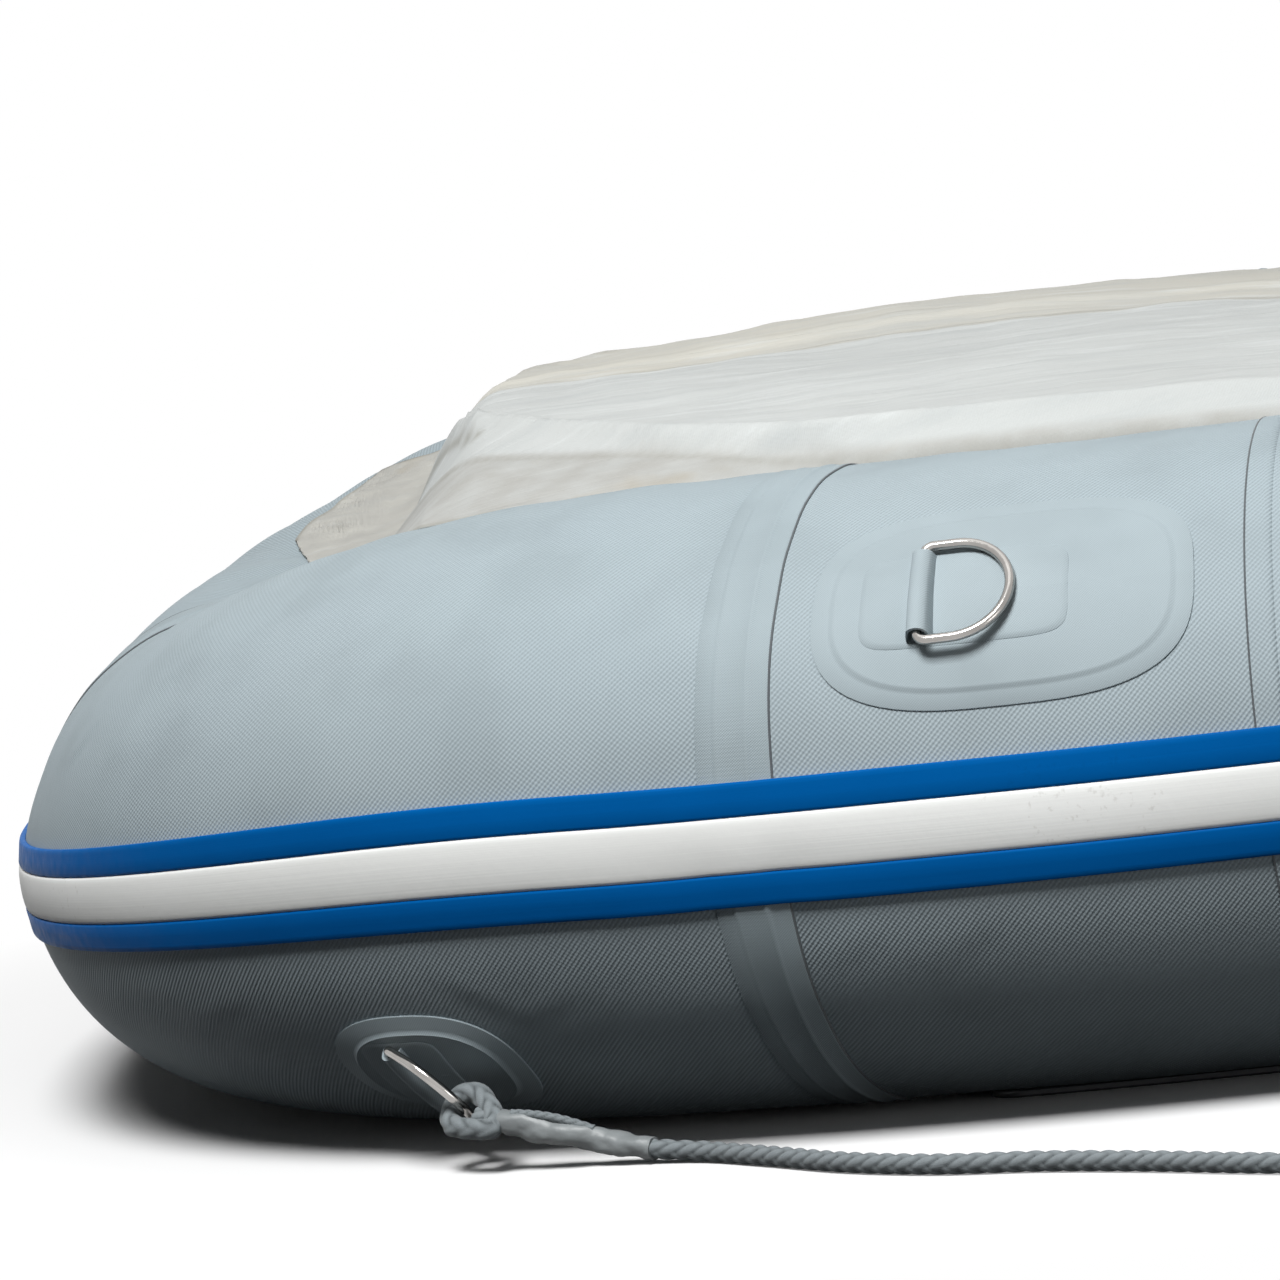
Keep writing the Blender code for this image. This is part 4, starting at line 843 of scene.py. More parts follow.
def makeRing(name, distance, around, lift):
    bar = ringFrame(f"{name}_swing", distance, around)
    turned = bar @ Matrix.Rotation(-lift, 4, "Y")
    half = rings["innerWidth"] / 2 + rings["rodRadius"]
    straight = rings["innerDepth"] + 2 * rings["rodRadius"] - half
    corner = rings["corner"]
    arm = []
    for step in range(1, 7):
        turn = math.pi / 2 * step / 7
        x, y = corner - corner * math.cos(turn), half - corner + corner * math.sin(turn)
        arm.append(Vector((x, y, 0)))
    arm += [Vector((x, half, 0)) for x in evenSteps(corner, straight, 4)]
    points = [Vector((0, y, 0)) for y in evenSteps(-half + corner, half - corner, 14)] + arm
    for step in range(1, 40):
        turn = math.pi * step / 40
        points.append(Vector((straight + half * math.sin(turn), half * math.cos(turn), 0)))
    points += [Vector((point.x, -point.y, 0)) for point in reversed(arm)]
    placed = [turned @ point for point in points]
    shape = rodAlong(placed, rings["round"], lambda step, turn: rings["rodRadius"], closed=True)
    piece = addPiece(name + "_rod", shape, steelMaterial, body=name)
    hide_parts(name)
    return bar


def sleeveProfile(share, wall):
    # an open loop of webbing: down on one side, over the bar and down on the other
    reach = sleeve["reach"] + wall
    turn = math.pi * share
    x, z = reach * math.cos(turn), reach * math.sin(turn)
    foot = smoothStep((abs(share - 0.5) - 0.28) / 0.22)
    x = math.copysign(abs(x) + foot * (sleeve["foot"] - reach), x)
    return x, z + foot * sleeve["low"]


def makeStrap(name, side, bar, kind):
    sizes = patches[kind]
    distance, around = rings["places"][kind]
    low = 2 * patches["layer"]
    top = low + patches["strapThickness"]
    fromCentre, toCentre = filledRings(0.006, sizes["strapWidth"] / 2, top)
    if kind == "side":
        rim = [(0, 0.0006), (0.0008, low + 0.0002), (0.0022, top - 0.0003), (0.0042, top)]
    else:
        rim = [(0, low + 0.0004), (0.0003, top - 0.0002), (0.001, top), (0.003, top)]
    centre = distance + sizes["strapShift"]
    length, width, fullness = sizes["strapLength"], sizes["strapWidth"], patches["strapFullness"]
    shape = steppedPatch(centre, around, length, width, fullness, fromCentre + rim + toCentre)
    wrapOnTube(shape, side)
    strap = addPiece(name, shape, patchFabric)

    half = rings["innerWidth"] / 2 - sleeve["clearance"]
    count = sleeve["steps"]
    inner = [sleeveProfile(step / count, 0.0) for step in range(count + 1)]
    outer = [sleeveProfile(step / count, sleeve["wall"]) for step in range(count, -1, -1)]

    def place(at, spot):
        flare = sleeve["flare"] * (abs(at) / half) ** 6
        sag = 1 + 0.02 * noiseAt(at * 90, spot[0] * 300, 0)
        droop = (at / half) ** 2 * sleeve["droop"]
        return Vector((spot[0] * sag * (1 + flare * 40), at, spot[1] * sag - droop))

    fold = gridFrom(evenSteps(-half, half, 16), inner + outer + [inner[0]], place)
    keepFlatMap(fold)
    closeUp(fold)
    bmesh.ops.transform(fold, matrix=bar, verts=fold.verts)
    webbing = addPiece(name + "_sleeve", fold, patchFabric, sharpAngle=50)
    return strap


def makeRings():
    for sideName, side in sides:
        for kind, (distance, around) in rings["places"].items():
            sizes, layer = patches[kind], patches["layer"]
            border, rim = sizes["border"], sizes["rim"]
            lift = 0.0
            if kind == "tow":
                lift = rings["towPulled"] if side > 0 else rings["towHanging"]
            bar = makeRing(f"{kind}_ring_{sideName}", side * distance, around, lift)
            fromCentre, toCentre = filledRings(border + 0.004, sizes["width"] / 2, 2 * layer)
            stepped = [
                (0, layer * 0.8),
                (0.0005, layer),
                (border - 0.0022, layer),
                (border - 0.0004, layer + 0.0002 + rim),
                (border + 0.001, 2 * layer + rim * 1.6),
                (border + 0.0025, 2 * layer + rim),
            ]
            steps = fromCentre + stepped + toCentre
            centre = distance + sizes["shift"]
            shape = steppedPatch(centre, around, sizes["length"], sizes["width"], sizes["fullness"], steps)
            wrapOnTube(shape, side)
            patch = addPiece(f"{kind}_patch_{sideName}", shape, patchFabric)
            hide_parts(f"{kind}_ring_patch_{sideName}")
            strap = makeStrap(f"{kind}_strap_{sideName}", side, bar, kind)
            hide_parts(f"{kind}_ring_strap_{sideName}")
    print("rings, patches and straps made")


# painter: eye splice on the port towing ring, taped tail, free stretch on the ground and a stored coil
painter = {
    "radius": 0.006,
    "strands": 4,
    "strandDepth": 0.24,
    "pitch": 0.052,
    "spacing": 0.0011,
    "eyeRadius": 0.0105,
    "eyeRopeRadius": 0.0052,
    "bundleRadius": 0.0121,
    "bundleThickness": 0.0067,
    "eyeSteps": 84,
    "eyePull": 0.0016,
    "eyeLength": 1.12,
    "eyePoint": 1.25,
    "tailRadius": 0.0078,
    "tailSkips": 16,
    "tailLump": 0.0012,
    "tailWrinkle": 0.0011,
    "spareRadius": 0.0028,
    "spareHeight": 0.0062,
    "spareArch": 0.0022,
    "spareAside": 0.002,
    "whippedPoints": 24,
    "whippingThickness": 0.0004,
    "round": 40,
    "eyeRound": 36,
    "tapeRound": 28,
    "spareRound": 20,
    "sharpAngle": 75,
    "coilCentre": (0.24, 0.9),
    "coilTurns": 2.5,
    "coilOuter": 0.084,
    "coilPitch": 0.0134,
    "layerRise": 0.0132,
    "height": 0.0063,
    "points": (
        (0.94, 0.566, 0.03),
        (0.912, 0.577, 0.023),
        (0.882, 0.586, 0.0145),
        (0.854, 0.6, 0.009),
        (0.82, 0.622, 0.0066),
        (0.782, 0.665, 0.0063),
        (0.735, 0.722, 0.0063),
        (0.682, 0.768, 0.0063),
        (0.622, 0.803, 0.0063),
        (0.562, 0.848, 0.0063),
        (0.495, 0.905, 0.0063),
        (0.43, 0.952, 0.0063),
        (0.36, 0.982, 0.0063),
        (0.29, 0.9902, 0.0063),
        (0.254, 0.9902, 0.0063),
    ),
}


def braidHeight(along, turn):
    # two families of strands that pass over two and under two
    count = painter["strands"]
    wind = 2 * math.pi * along / painter["pitch"]
    a, b = count * (turn + wind), count * (turn - wind)
    strandA, strandB = round(a / (2 * math.pi)), round(b / (2 * math.pi))
    overA = math.cos(b / 4 + math.pi / 2 * strandA + math.pi / 4)
    overB = -math.cos(a / 4 + math.pi / 2 * strandB + math.pi / 4)
    crownA = abs(math.cos(a / 2)) ** 0.6
    crownB = abs(math.cos(b / 2)) ** 0.6
    return max(crownA * (0.62 + 0.38 * overA), crownB * (0.62 + 0.38 * overB))


def braidedRope(points, radius, count, closed=False, lowestZ=None):
    lengths = runLengths(points)
    depth = radius * painter["strandDepth"]
    share = radius / painter["radius"]

    def radiusAt(step, turn):
        return radius + depth * 0.12 - depth * (1 - braidHeight(lengths[step] / share, turn))

    shape = rodAlong(points, count, radiusAt, closed, lowestZ)
    turns, alongs = shape.verts.layers.float["turn"], shape.verts.layers.float["along"]
    strand = shape.verts.layers.float.new("strand")
    for vert in shape.verts:
        vert[strand] = braidHeight(lengths[min(int(vert[alongs]), len(lengths) - 1)] / share, vert[turns])
    return shape


def coilLine():
    # a flat coil in two layers: inwards on the ground, a half turn up, then outwards on top
    start = Vector((bowX + painter["coilCentre"][0], painter["coilCentre"][1], 0))
    turnsInward, pitch = painter["coilTurns"], painter["coilPitch"]
    innerRadius = painter["coilOuter"] - turnsInward * pitch
    totalTurns = 2 * turnsInward + 0.5
    points = []
    count = round(totalTurns * 24)
    for step in range(count + 1):
        turns = totalTurns * step / count
        if turns <= turnsInward:
            radius, rise = painter["coilOuter"] - pitch * turns, 0
        elif turns <= turnsInward + 0.5:
            swing = (1 - math.cos(4 * math.pi * (turns - turnsInward))) / 2
            radius = innerRadius - pitch * swing / 3
            rise = (1 - math.cos(math.pi * (turns - turnsInward) * 2)) / 2
        else:
            radius, rise = innerRadius + pitch * (turns - turnsInward - 0.5), 1
        angle = math.pi / 2 + 2 * math.pi * turns
        height = painter["height"] + painter["layerRise"] * rise
        points.append(start + Vector((radius * math.cos(angle), radius * math.sin(angle), height)))
    leadIn = (points[0] - points[1]).normalized() * painter["radius"] * 2
    leadOut = (points[-1] - points[-2]).normalized() * painter["radius"] * 2
    return [points[0] + leadIn] + points + [points[-1] + leadOut]


def eyeLoop(ring, reach):
    # a loop round the ring's rod, drawn out to a point on the rope's side
    points = []
    radius = painter["bundleRadius"]
    for step in range(painter["eyeSteps"]):
        turn = 2 * math.pi * step / painter["eyeSteps"]
        onward = max(0, math.cos(turn))
        along = radius * painter["eyeLength"] * math.cos(turn) * (1 + painter["eyePoint"] * onward)
        height = radius * math.sin(turn) * (1 - 0.2 * onward**2)
        points.append(ring @ Vector((reach + 0.001 + along, 0.0012 * math.sin(turn * 2), height)))
    return points


def bindingRadius(share, turn):
    # tape over the tucked tail, lumpy over the tucks and drawn in at both ends
    lump = painter["tailLump"] * math.cos(2 * turn + share * 15) * (0.4 + 0.6 * math.sin(share * 9) ** 2)
    lump += painter["tailWrinkle"] * noiseAt(share * 16, 1.6 * math.cos(turn), 1.6 * math.sin(turn))
    ends = min(1, share / 0.06, (1 - share) / 0.02 + 0.86)
    spare = 0.0009 * nearby(share - 0.34, 0.12) * max(0, math.cos(turn - 2.2))
    return painter["tailRadius"] * (0.9 + 0.1 * ends) * (1 - 0.07 * share) + lump + spare


def whippingRadius(step, turn):
    return painter["radius"] + painter["whippingThickness"] + 0.0003 * abs(math.sin(step * 1.3))


def makePainter():
    bar = ringFrame("tow_ring_port_swing", *rings["places"]["tow"])
    ring = bar @ Matrix.Rotation(-rings["towPulled"], 4, "Y")
    reach = rings["innerDepth"] + 2 * rings["rodRadius"] + painter["eyePull"]
    tailStart = ring @ Vector((reach + painter["eyeRadius"] + painter["eyeRopeRadius"] / 2, 0, 0))
    shift = Vector((bowX, 0, 0))
    places = [shift + Vector(point) for point in painter["points"]]
    whole = smoothLine([tailStart] + places + coilLine(), painter["spacing"])
    ground = painter["height"] - painter["radius"]
    sharpAngle = painter["sharpAngle"]
    shape = braidedRope(whole, painter["radius"], painter["round"], lowestZ=ground)
    rope = addPiece("painter_line", shape, ropeMaterial, sharpAngle=sharpAngle, merge=None)
    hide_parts("painter_rope", "painter_coil")
    shape = braidedRope(eyeLoop(ring, reach), painter["bundleThickness"], painter["eyeRound"], closed=True)
    eye = addPiece("painter_eye", shape, ropeMaterial, sharpAngle=sharpAngle, merge=None)

    # the tail laid back along the line and bound with tape
    tailEnd = min(range(len(whole)), key=lambda index: (whole[index] - places[3]).length)
    tail = whole[painter["tailSkips"] : tailEnd + 1 : 2]

    def tailRadius(step, turn):
        return bindingRadius(step / (len(tail) - 1), turn)

    shape = rodAlong(tail, painter["tapeRound"], tailRadius, lowestZ=ground)
    binding = addPiece("painter_binding", shape, tapeWrap, sharpAngle=60, merge=None)
    # the spare strand that comes out of the tuck and lies on top
    lifted = []
    for step in range(25):
        point = tail[int((0.1 + 0.5 * step / 24) * len(tail))]
        height = painter["spareHeight"] + painter["spareArch"] * math.sin(math.pi * step / 24)
        lifted.append(point + up * height + Vector((0, painter["spareAside"], 0)))
    shape = braidedRope(smoothLine(lifted, 0.0014), painter["spareRadius"], painter["spareRound"])
    spare = addPiece("painter_tuck", shape, ropeMaterial, sharpAngle=sharpAngle, merge=None)
    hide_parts("painter_splice")
    end = whole[-painter["whippedPoints"] :]
    shape = rodAlong(end, painter["tapeRound"], whippingRadius, lowestZ=ground - 0.0003)
    whipped = addPiece("painter_whipping", shape, threadMaterial, merge=None)
    round(pathLength(whole), 3)
    print("painter made, metres:", round(pathLength(whole), 3))


makePainter()
makeRings()

# air chambers and baffles
tubes = {
    "round": 176,
    "bowStep": 0.0055,
    "sideStep": 0.011,
    "coneSteps": 26,
    "coneRound": 96,
    "endDepth": 0.014,
    "endGap": 0.0002,
    "seamGap": 0.001,
}
baffle = {
    "reach": 0.99,
    "dish": 0.03,
    "thickness": 0.0012,
    "round": 64,
    "rings": (0.04, 0.25, 0.5, 0.75, 0.92, 1.0),
}


def tubeChamber(name, stations):
    rows = evenSteps(-math.pi * tubeRadius, math.pi * tubeRadius, tubes["round"])
    shape = gridFrom(stations, rows, lambda at, across: Vector((at, across, 0)))
    wrapOnTube(shape)
    closeUp(shape, 1e-5)
    piece = addPiece(name, shape, tubeFabric, sharpAngle=50)
    return piece


def makeCone(sideName, side):
    # stern cone with a rounded moulded end
    stations = [(at, 1.0) for at in evenSteps(coneStart + tubes["endGap"], sternEnd, tubes["coneSteps"])]
    for turn in evenSteps(0.2, 1.45, 6):
        stations.append((sternEnd + tubes["endDepth"] * math.sin(turn), math.cos(turn)))

    def place(station, turn):
        at, share = station
        centre, outboard, radius = tubePlace(side * min(at, sternEnd))
        over = Vector((-(max(at - sternEnd, 0)), 0, 0))
        reach = radius * boat["skinShare"] * share
        return centre + over + reach * (math.cos(turn) * outboard + math.sin(turn) * up)

    def flatPlace(step, turn):
        return (stations[step][0], turn * 0.12)

    shape = ringLoft(tubes["coneRound"], stations, place, mapAt=flatPlace)
    piece = addPiece(f"stern_cone_shell_{sideName}", shape, tubeFabric, sharpAngle=50)
    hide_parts(f"stern_cone_{sideName}")


def makeBaffle(sideName, side):
    # a shallow cloth bowl across the tube, under the shoulder tape
    def place(ring, turn):
        centre, outboard, radius = tubePlace(side * shoulder)
        ahead = Vector((-outboard.y, outboard.x, 0)) * side
        share, wall = ring
        reach = radius * boat["skinShare"] * baffle["reach"] * share
        dish = baffle["dish"] * (1 - share**2) + wall
        return centre + ahead * dish + reach * (math.cos(turn) * outboard + math.sin(turn) * up)

    bowl = [(share, 0.0) for share in baffle["rings"]]
    bowl += [(share, baffle["thickness"]) for share in reversed(baffle["rings"])]
    shape = ringLoft(baffle["round"], bowl, place)
    keepFlatMap(shape)
    piece = addPiece(f"baffle_cloth_{sideName}", shape, tapeFabric)
    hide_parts(f"baffle_{sideName}")


def makeTubes():
    for sideName, side in sides:
        bowCount = round((shoulder - 0.0005) / tubes["bowStep"])
        forward = evenSteps(tubes["endGap"], shoulder - tubes["seamGap"], bowCount)
        bow = tubeChamber(f"bow_chamber_{sideName}", sorted(side * at for at in forward))
        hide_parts(f"bow_tube_{sideName}")
        curvedCount = round((bowRun - shoulder) / tubes["sideStep"] * 1.2)
        curved = evenSteps(shoulder + tubes["seamGap"], bowRun, curvedCount)
        straightCount = round(boat["sideLength"] / tubes["sideStep"] / 1.6)
        straight = evenSteps(bowRun, coneStart - tubes["endGap"], straightCount)
        body = tubeChamber(f"side_chamber_{sideName}", sorted(side * at for at in curved + straight[1:]))
        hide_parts(f"side_tube_{sideName}")
        makeCone(sideName, side)
        makeBaffle(sideName, side)
    print("air tubes made")


makeTubes()

# seam tapes, and thin dark beads along their edges that are painted shade; a profile is the place across the tape
# and the height off the skin
tapes = {
    "round": 220,
    "seamRound": 180,
    "shoulderEdgeShade": 0.0203,
    "noseEdgeShade": 0.0505,
    "lapPlaces": (0.9655, 1.45, 1.95, 2.42),
    # the wide shoulder tape covers two narrower layers, which show through as ridges
    "shoulder": (
        (-0.02, -0.0008), (-0.02, 0.0005), (-0.0196, 0.0009), (-0.0118, 0.001), (-0.0104, 0.0014),
        (-0.0092, 0.0021), (-0.008, 0.0019), (0.0055, 0.0019), (0.0068, 0.0025), (0.0078, 0.0027),
        (0.009, 0.0022), (0.0105, 0.0013), (0.0188, 0.0012), (0.0196, 0.001), (0.02, 0.0006),
        (0.02, -0.0008), (-0.02, -0.0008),
    ),
    # a lap along the side chamber, with the edge of its inner strip showing through
    "lap": (
        (0, -0.0008), (0, 0.0007), (0.0005, 0.0009), (0.0085, 0.0009), (0.0105, 0.0013),
        (0.0125, 0.0009), (0.0145, 0.0002), (0.015, -0.0008), (0, -0.0008),
    ),
    "halfOfNose": [
        (-0.05, -0.0008), (-0.05, 0.0006), (-0.0495, 0.0009), (-0.041, 0.001), (-0.0395, 0.0014),
        (-0.004, 0.0013), (-0.002, 0.0018),
    ],
    "bead": (
        (-0.0006, -0.0006), (-0.0006, 0.0007), (0, 0.0011), (0.0006, 0.0007), (0.0006, -0.0006),
        (-0.0006, -0.0006),
    ),
}


def roundTape(name, at, profile, material, around=tapes["seamRound"]):
    rows = evenSteps(-math.pi * tubeRadius, math.pi * tubeRadius, around)
    shape = gridFrom(profile, rows, lambda spot, across: Vector((at + spot[0], across, spot[1])))
    wrapOnTube(shape)
    return addPiece(name, shape, material, sharpAngle=50)


def tapeEdgeShade(name, at):
    # the thin dark bead along a tape's edge: painted shade where the tape's step drops to the skin
    piece = roundTape(name, at, tapes["bead"], tapeEdgeShadeMaterial)


def makeTapes():
    for sideName, side in sides:
        profile = [(side * x, z) for x, z in tapes["shoulder"]]
        tape = roundTape(f"shoulder_band_{sideName}", side * shoulder, profile, ribbedTape, tapes["round"])
        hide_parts(f"shoulder_tape_{sideName}")
        tapeEdgeShade(f"shoulder_edge_shade_{sideName}", side * (shoulder + tapes["shoulderEdgeShade"]))
        for number, at in enumerate(tapes["lapPlaces"], 1):
            tapeEdgeShade(f"lap_edge_shade_{number}_{sideName}", side * (at - 0.0005))
            profile = [(side * x, z) for x, z in tapes["lap"]]
            seam = roundTape(f"lap_seam_{number}_{sideName}", side * at, profile, tubeFabric)
        tapeEdgeShade(f"nose_edge_shade_{sideName}", side * tapes["noseEdgeShade"])
    profile = tapes["halfOfNose"] + mirrored(tapes["halfOfNose"]) + tapes["halfOfNose"][:1]
    tape = roundTape("nose_band", 0.0, profile, tapeFabric, tapes["round"])
    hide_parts("bow_seam_tape")
    print("seam tapes made")


makeTapes()

# rubbing strake: a blue base with a raised rail along each edge, and a white insert between the rails
strake = {
    "halfBase": 0.037,
    "halfGroove": 0.017,
    "top": 0.0036,
    "floor": 0.0014,
    "crown": 0.0046,
    "setback": 0.05,
    "drop": 0.004,
    "wave": 0.0005,
    "bend": 1.41,  # beyond this distance from the nose it runs straight
    "tip": 0.012,
    "tipShare": 0.35,
    "sharpAngle": 38,
}


def strakeStations(end):
    bow = evenSteps(0, strake["bend"], 118)[1:]
    straight = evenSteps(strake["bend"], end - 0.02, 24)[1:]
    half = bow + straight + [end - strake["tip"], end - 0.006, end - 0.002, end]
    return [-at for at in reversed(half)] + [0.0] + half


def strakeOutlines():
    # each outline is across the strake and off the skin
    top, floor, half, groove = strake["top"], strake["floor"], strake["halfBase"], strake["halfGroove"]
    rail = [
        (-half, 0.0),
        (-half - 0.0002, top * 0.35),
        (-half, top - 0.0012),
        (-half + 0.0005, top - 0.0004),
        (-half + 0.0016, top),
        (-half + 0.004, top + 0.0001),
        (-(half + groove) / 2, top - 0.0001),
        (-groove - 0.0016, top + 0.0001),
        (-groove - 0.0004, top - 0.0004),
        (-groove, top - 0.001),
        (-groove, floor),
    ]
    base = [(y, z + 0.0003) for y, z in rail + mirrored(rail)]
    base += [(half * share, -0.0004) for share in (0.6, 0.2, -0.2, -0.6)] + [base[0]]
    edge = -groove + 0.0003
    insertHalf = [(edge, floor + 0.0005), (edge, top - 0.0009), (-groove + 0.0011, top - 0.0001)]
    for y in (-0.0145, -0.0118, -0.0085, -0.005, -0.0018):
        insertHalf.append((y, top + (strake["crown"] - top) * (1 - (y / groove) ** 2) ** 0.9))
    return base, insertHalf + mirrored(insertHalf) + [insertHalf[0]]


def makeStrake():
    end = coneStart - strake["setback"]
    base, insert = strakeOutlines()

    def place(at, spot):
        # narrower and thinner over the last few millimetres at each end
        closing = max(0, abs(at) - (end - strake["tip"])) / strake["tip"]
        narrow = math.sqrt(max(0.04, 1 - closing**2)) if closing else 1
        wave = strake["wave"] * noiseAt(at * 7, 0, 3)
        across = spot[0] * (1 - strake["tipShare"] * (1 - narrow)) + wave - strake["drop"]
        thin = strake["tipShare"] + (1 - strake["tipShare"]) * narrow if closing else 1
        return Vector((at, across, spot[1] * thin))

    for name, outline, material, node, slot in (
        ("strake_rails", base, strakeBlue, "strake_base", "strake_blue"),
        ("strake_band", insert, strakeWhite, "strake_insert", "strake_white"),
    ):
        shape = gridFrom(strakeStations(end), outline, place)
        wrapOnTube(shape)
        closeUp(shape)
        piece = addPiece(name, shape, material, sharpAngle=strake["sharpAngle"])
        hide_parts(node)
    print("strake made")


makeStrake()

# wear strips under the tubes: rubber tongues with a round front end
strips = {
    "halfWidth": 0.023,
    "start": 0.75,
    "rounding": 0.023,
    "under": [(-1, 0.0016), (-0.95, 0.0003), (-0.9, 0.0001)],
    "over": [(1, 0.0042), (0.96, 0.0052), (0.85, 0.0058), (0.3, 0.0056)],
    "middle": (0, 0.0056),
}


def makeStrips():
    under, over = strips["under"], strips["over"]
    outline = under + mirrored(under) + over + [strips["middle"]] + mirrored(over) + under[:1]
    stations = [strips["start"] + x for x in (0.0, 0.002, 0.005, 0.01, 0.016, 0.023)]
    stations += evenSteps(strips["start"] + 0.03, coneStart - 0.001, 90)
    for sideName, side in sides:

        def place(at, spot):
            into = min(1, (at - strips["start"]) / strips["rounding"])
            half = strips["halfWidth"] * math.sqrt(max(0.02, 1 - (1 - into) ** 2))
            centre, outboard, _ = tubePlace(side * at)
            across, height = spot
            return Vector((centre.x, centre.y, 0)) + outboard * across * half + up * height

        shape = gridFrom(stations, outline, place)
        keepFlatMap(shape)
        closeUp(shape)
        piece = addPiece(f"wear_tongue_{sideName}", shape, stripRubber)
        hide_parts(f"wear_strip_{sideName}")
    print("wear strips made")


makeStrips()

# bow cover; hems are angles on the tube in degrees by distance from the nose, and the plan lines give the
# distance from the middle by the distance ahead of the bow's start
cover = {
    "aft": 1.06,
    "portNose": 0.25,
    "starboardNose": 0.195,
    "fineEnd": 0.4,
    "length": 0.86,
    "deck": 0.394,
    "crown": 0.019,
    "farRise": 0.004,
    "hump": 0.011,
    "sink": 0.027,
    "sinkStart": 0.6,
    "farSink": 0.013,
    "slopeStart": 0.93,
    "slopeEnd": 1.045,
    "low": 0.29,
    "thickness": 0.0012,
    "portHem": ((0.0, 114), (0.2, 113), (0.38, 99), (0.62, 122), (2.0, 125)),
    "starboardHem": (
        (0.0, 100), (0.14, 98), (0.2, 87), (0.256, 85), (0.308, 79), (0.33, 79), (0.345, 90),
        (0.42, 98), (0.62, 122), (2.0, 125),
    ),
    "foldLine": (
        (0.3, 0.45), (0.46, 0.432), (0.605, 0.412), (0.694, 0.371), (0.732, 0.346), (0.801, 0.308),
        (0.857, 0.267), (0.919, 0.216), (0.976, 0.147), (1.05, 0.03),
    ),
    "edgeLine": (
        (0.3, 0.445), (0.461, 0.43), (0.605, 0.405), (0.691, 0.376), (0.764, 0.325), (0.812, 0.291),
        (0.856, 0.237), (0.911, 0.17), (0.947, 0.109), (1.02, 0.01),
    ),
    "foldInset": 0.012,
    "edgeInset": 0.034,
    "foldLevel": 0.6,
    "crease": (
        (0.93, 0.15), (0.947, 0.109), (0.962, 0.072), (0.976, 0.048), (0.99, 0.026), (1.006, 0.004),
        (1.03, -0.018),
    ),
    "wave": 0.0026,
    "ripple": 0.0013,
    "frontWave": 0.0026,
    "farFold": 0.003,
    "farFoldDip": 0.0028,
    "lap": 0.0013,
    "overTube": 0.0008,
    "hemLift": 0.001,
    "filled": 0.8,  # the cloth's share of the flat sheet it is cut from
    "hemRoll": 0.0012,
    "foldRidge": 0.0017,
    "edgeRim": 0.0022,
    "creaseRidge": 0.0042,
    "unevenness": 0.0022,
}
bowCentres = [(bowRun * step / 160, *tubePlace(bowRun * step / 160)) for step in range(161)]


def alongTable(table, value):
    for (start, a), (end, b) in zip(table, table[1:]):
        if value <= end:
            return a + (b - a) * (value - start) / (end - start)
    return table[-1][1]


def tubeCrest(x, y):
    # height of the bow tube's skin over a place in plan, 0 beside the tube
    place = Vector((x, abs(y)))
    at, centre, outboard, radius = min(bowCentres, key=lambda found: (found[1].xy - place).length_squared)
    across = (place - centre.xy).dot(outboard.xy)
    radius *= boat["skinShare"]
    if abs(across) >= radius:
        return 0
    angle = math.acos(across / radius)
    radius += skinRelief(math.copysign(at, y), angle)
    return centre.z + math.sqrt(max(0, radius**2 - across**2))


def hemLine(side, distances):
    table = cover["portHem"] if side > 0 else cover["starboardHem"]
    return [onTube(side * at, math.radians(alongTable(table, at)), cover["hemLift"]) for at in distances]


def offLine(line, spot):
    # distance from a line of plan points
    best = 9.0
    for start, end in zip(line, line[1:]):
        run = end - start
        share = min(1, max(0, (spot - start).dot(run) / run.length_squared))
        best = min(best, (start + run * share - spot).length)
    return best


def coverLanes():
    # close together at both hems, at the centre seam and at the fold on the far panel
    port = evenSteps(1, 0.9, 24) + evenSteps(0.9, 0.04, 84)[1:] + [0.02, 0.008]
    seam = [0.0, -0.003, -0.006, -0.02, -0.034, -0.037, -0.04]
    fold = [-0.06, -0.08, -0.1] + evenSteps(-0.115, -0.215, 20) + evenSteps(-0.24, -0.34, 4)
    starboard = seam + fold + evenSteps(-0.36, -0.88, 18) + evenSteps(-0.9, -1, 14)
    return port + starboard


def slopeAt(ahead, y):
    # 0 on the deck, 1 at the foot of the front panel, which starts earlier on the far side
    start = cover["slopeStart"] - 0.012 * smoothStep(-y / 0.16)
    return smoothStep((ahead - start) / (cover["slopeEnd"] - cover["slopeStart"]))


def deckLevel(ahead, y, reach, slope):
    crownShare = 1 - (y / max(0.05, reach)) ** 2
    level = cover["deck"] + cover["crown"] * crownShare
    hump = cover["hump"] * nearby(ahead - 0.68, 0.16)
    level += (cover["farRise"] + hump) * smoothStep(-y / 0.12) * crownShare
    level -= cover["sink"] * smoothStep((cover["sinkStart"] - ahead) / 0.6)
    level -= cover["farSink"] * smoothStep((0.5 - ahead) / 0.35) * smoothStep(-y / 0.16)
    return level + (cover["low"] - level) * slope


def wallShare(out, reach, foldAt, edgeAt):
    # the side wall: steep from the hem up to the sewn fold, then a facet up to the deck's edge
    if out > foldAt:
        return cover["foldLevel"] * math.sin((reach - out) / (reach - foldAt) * math.pi / 2) ** 0.85
    return cover["foldLevel"] + (1 - cover["foldLevel"]) * min(1, (foldAt - out) / (foldAt - edgeAt))


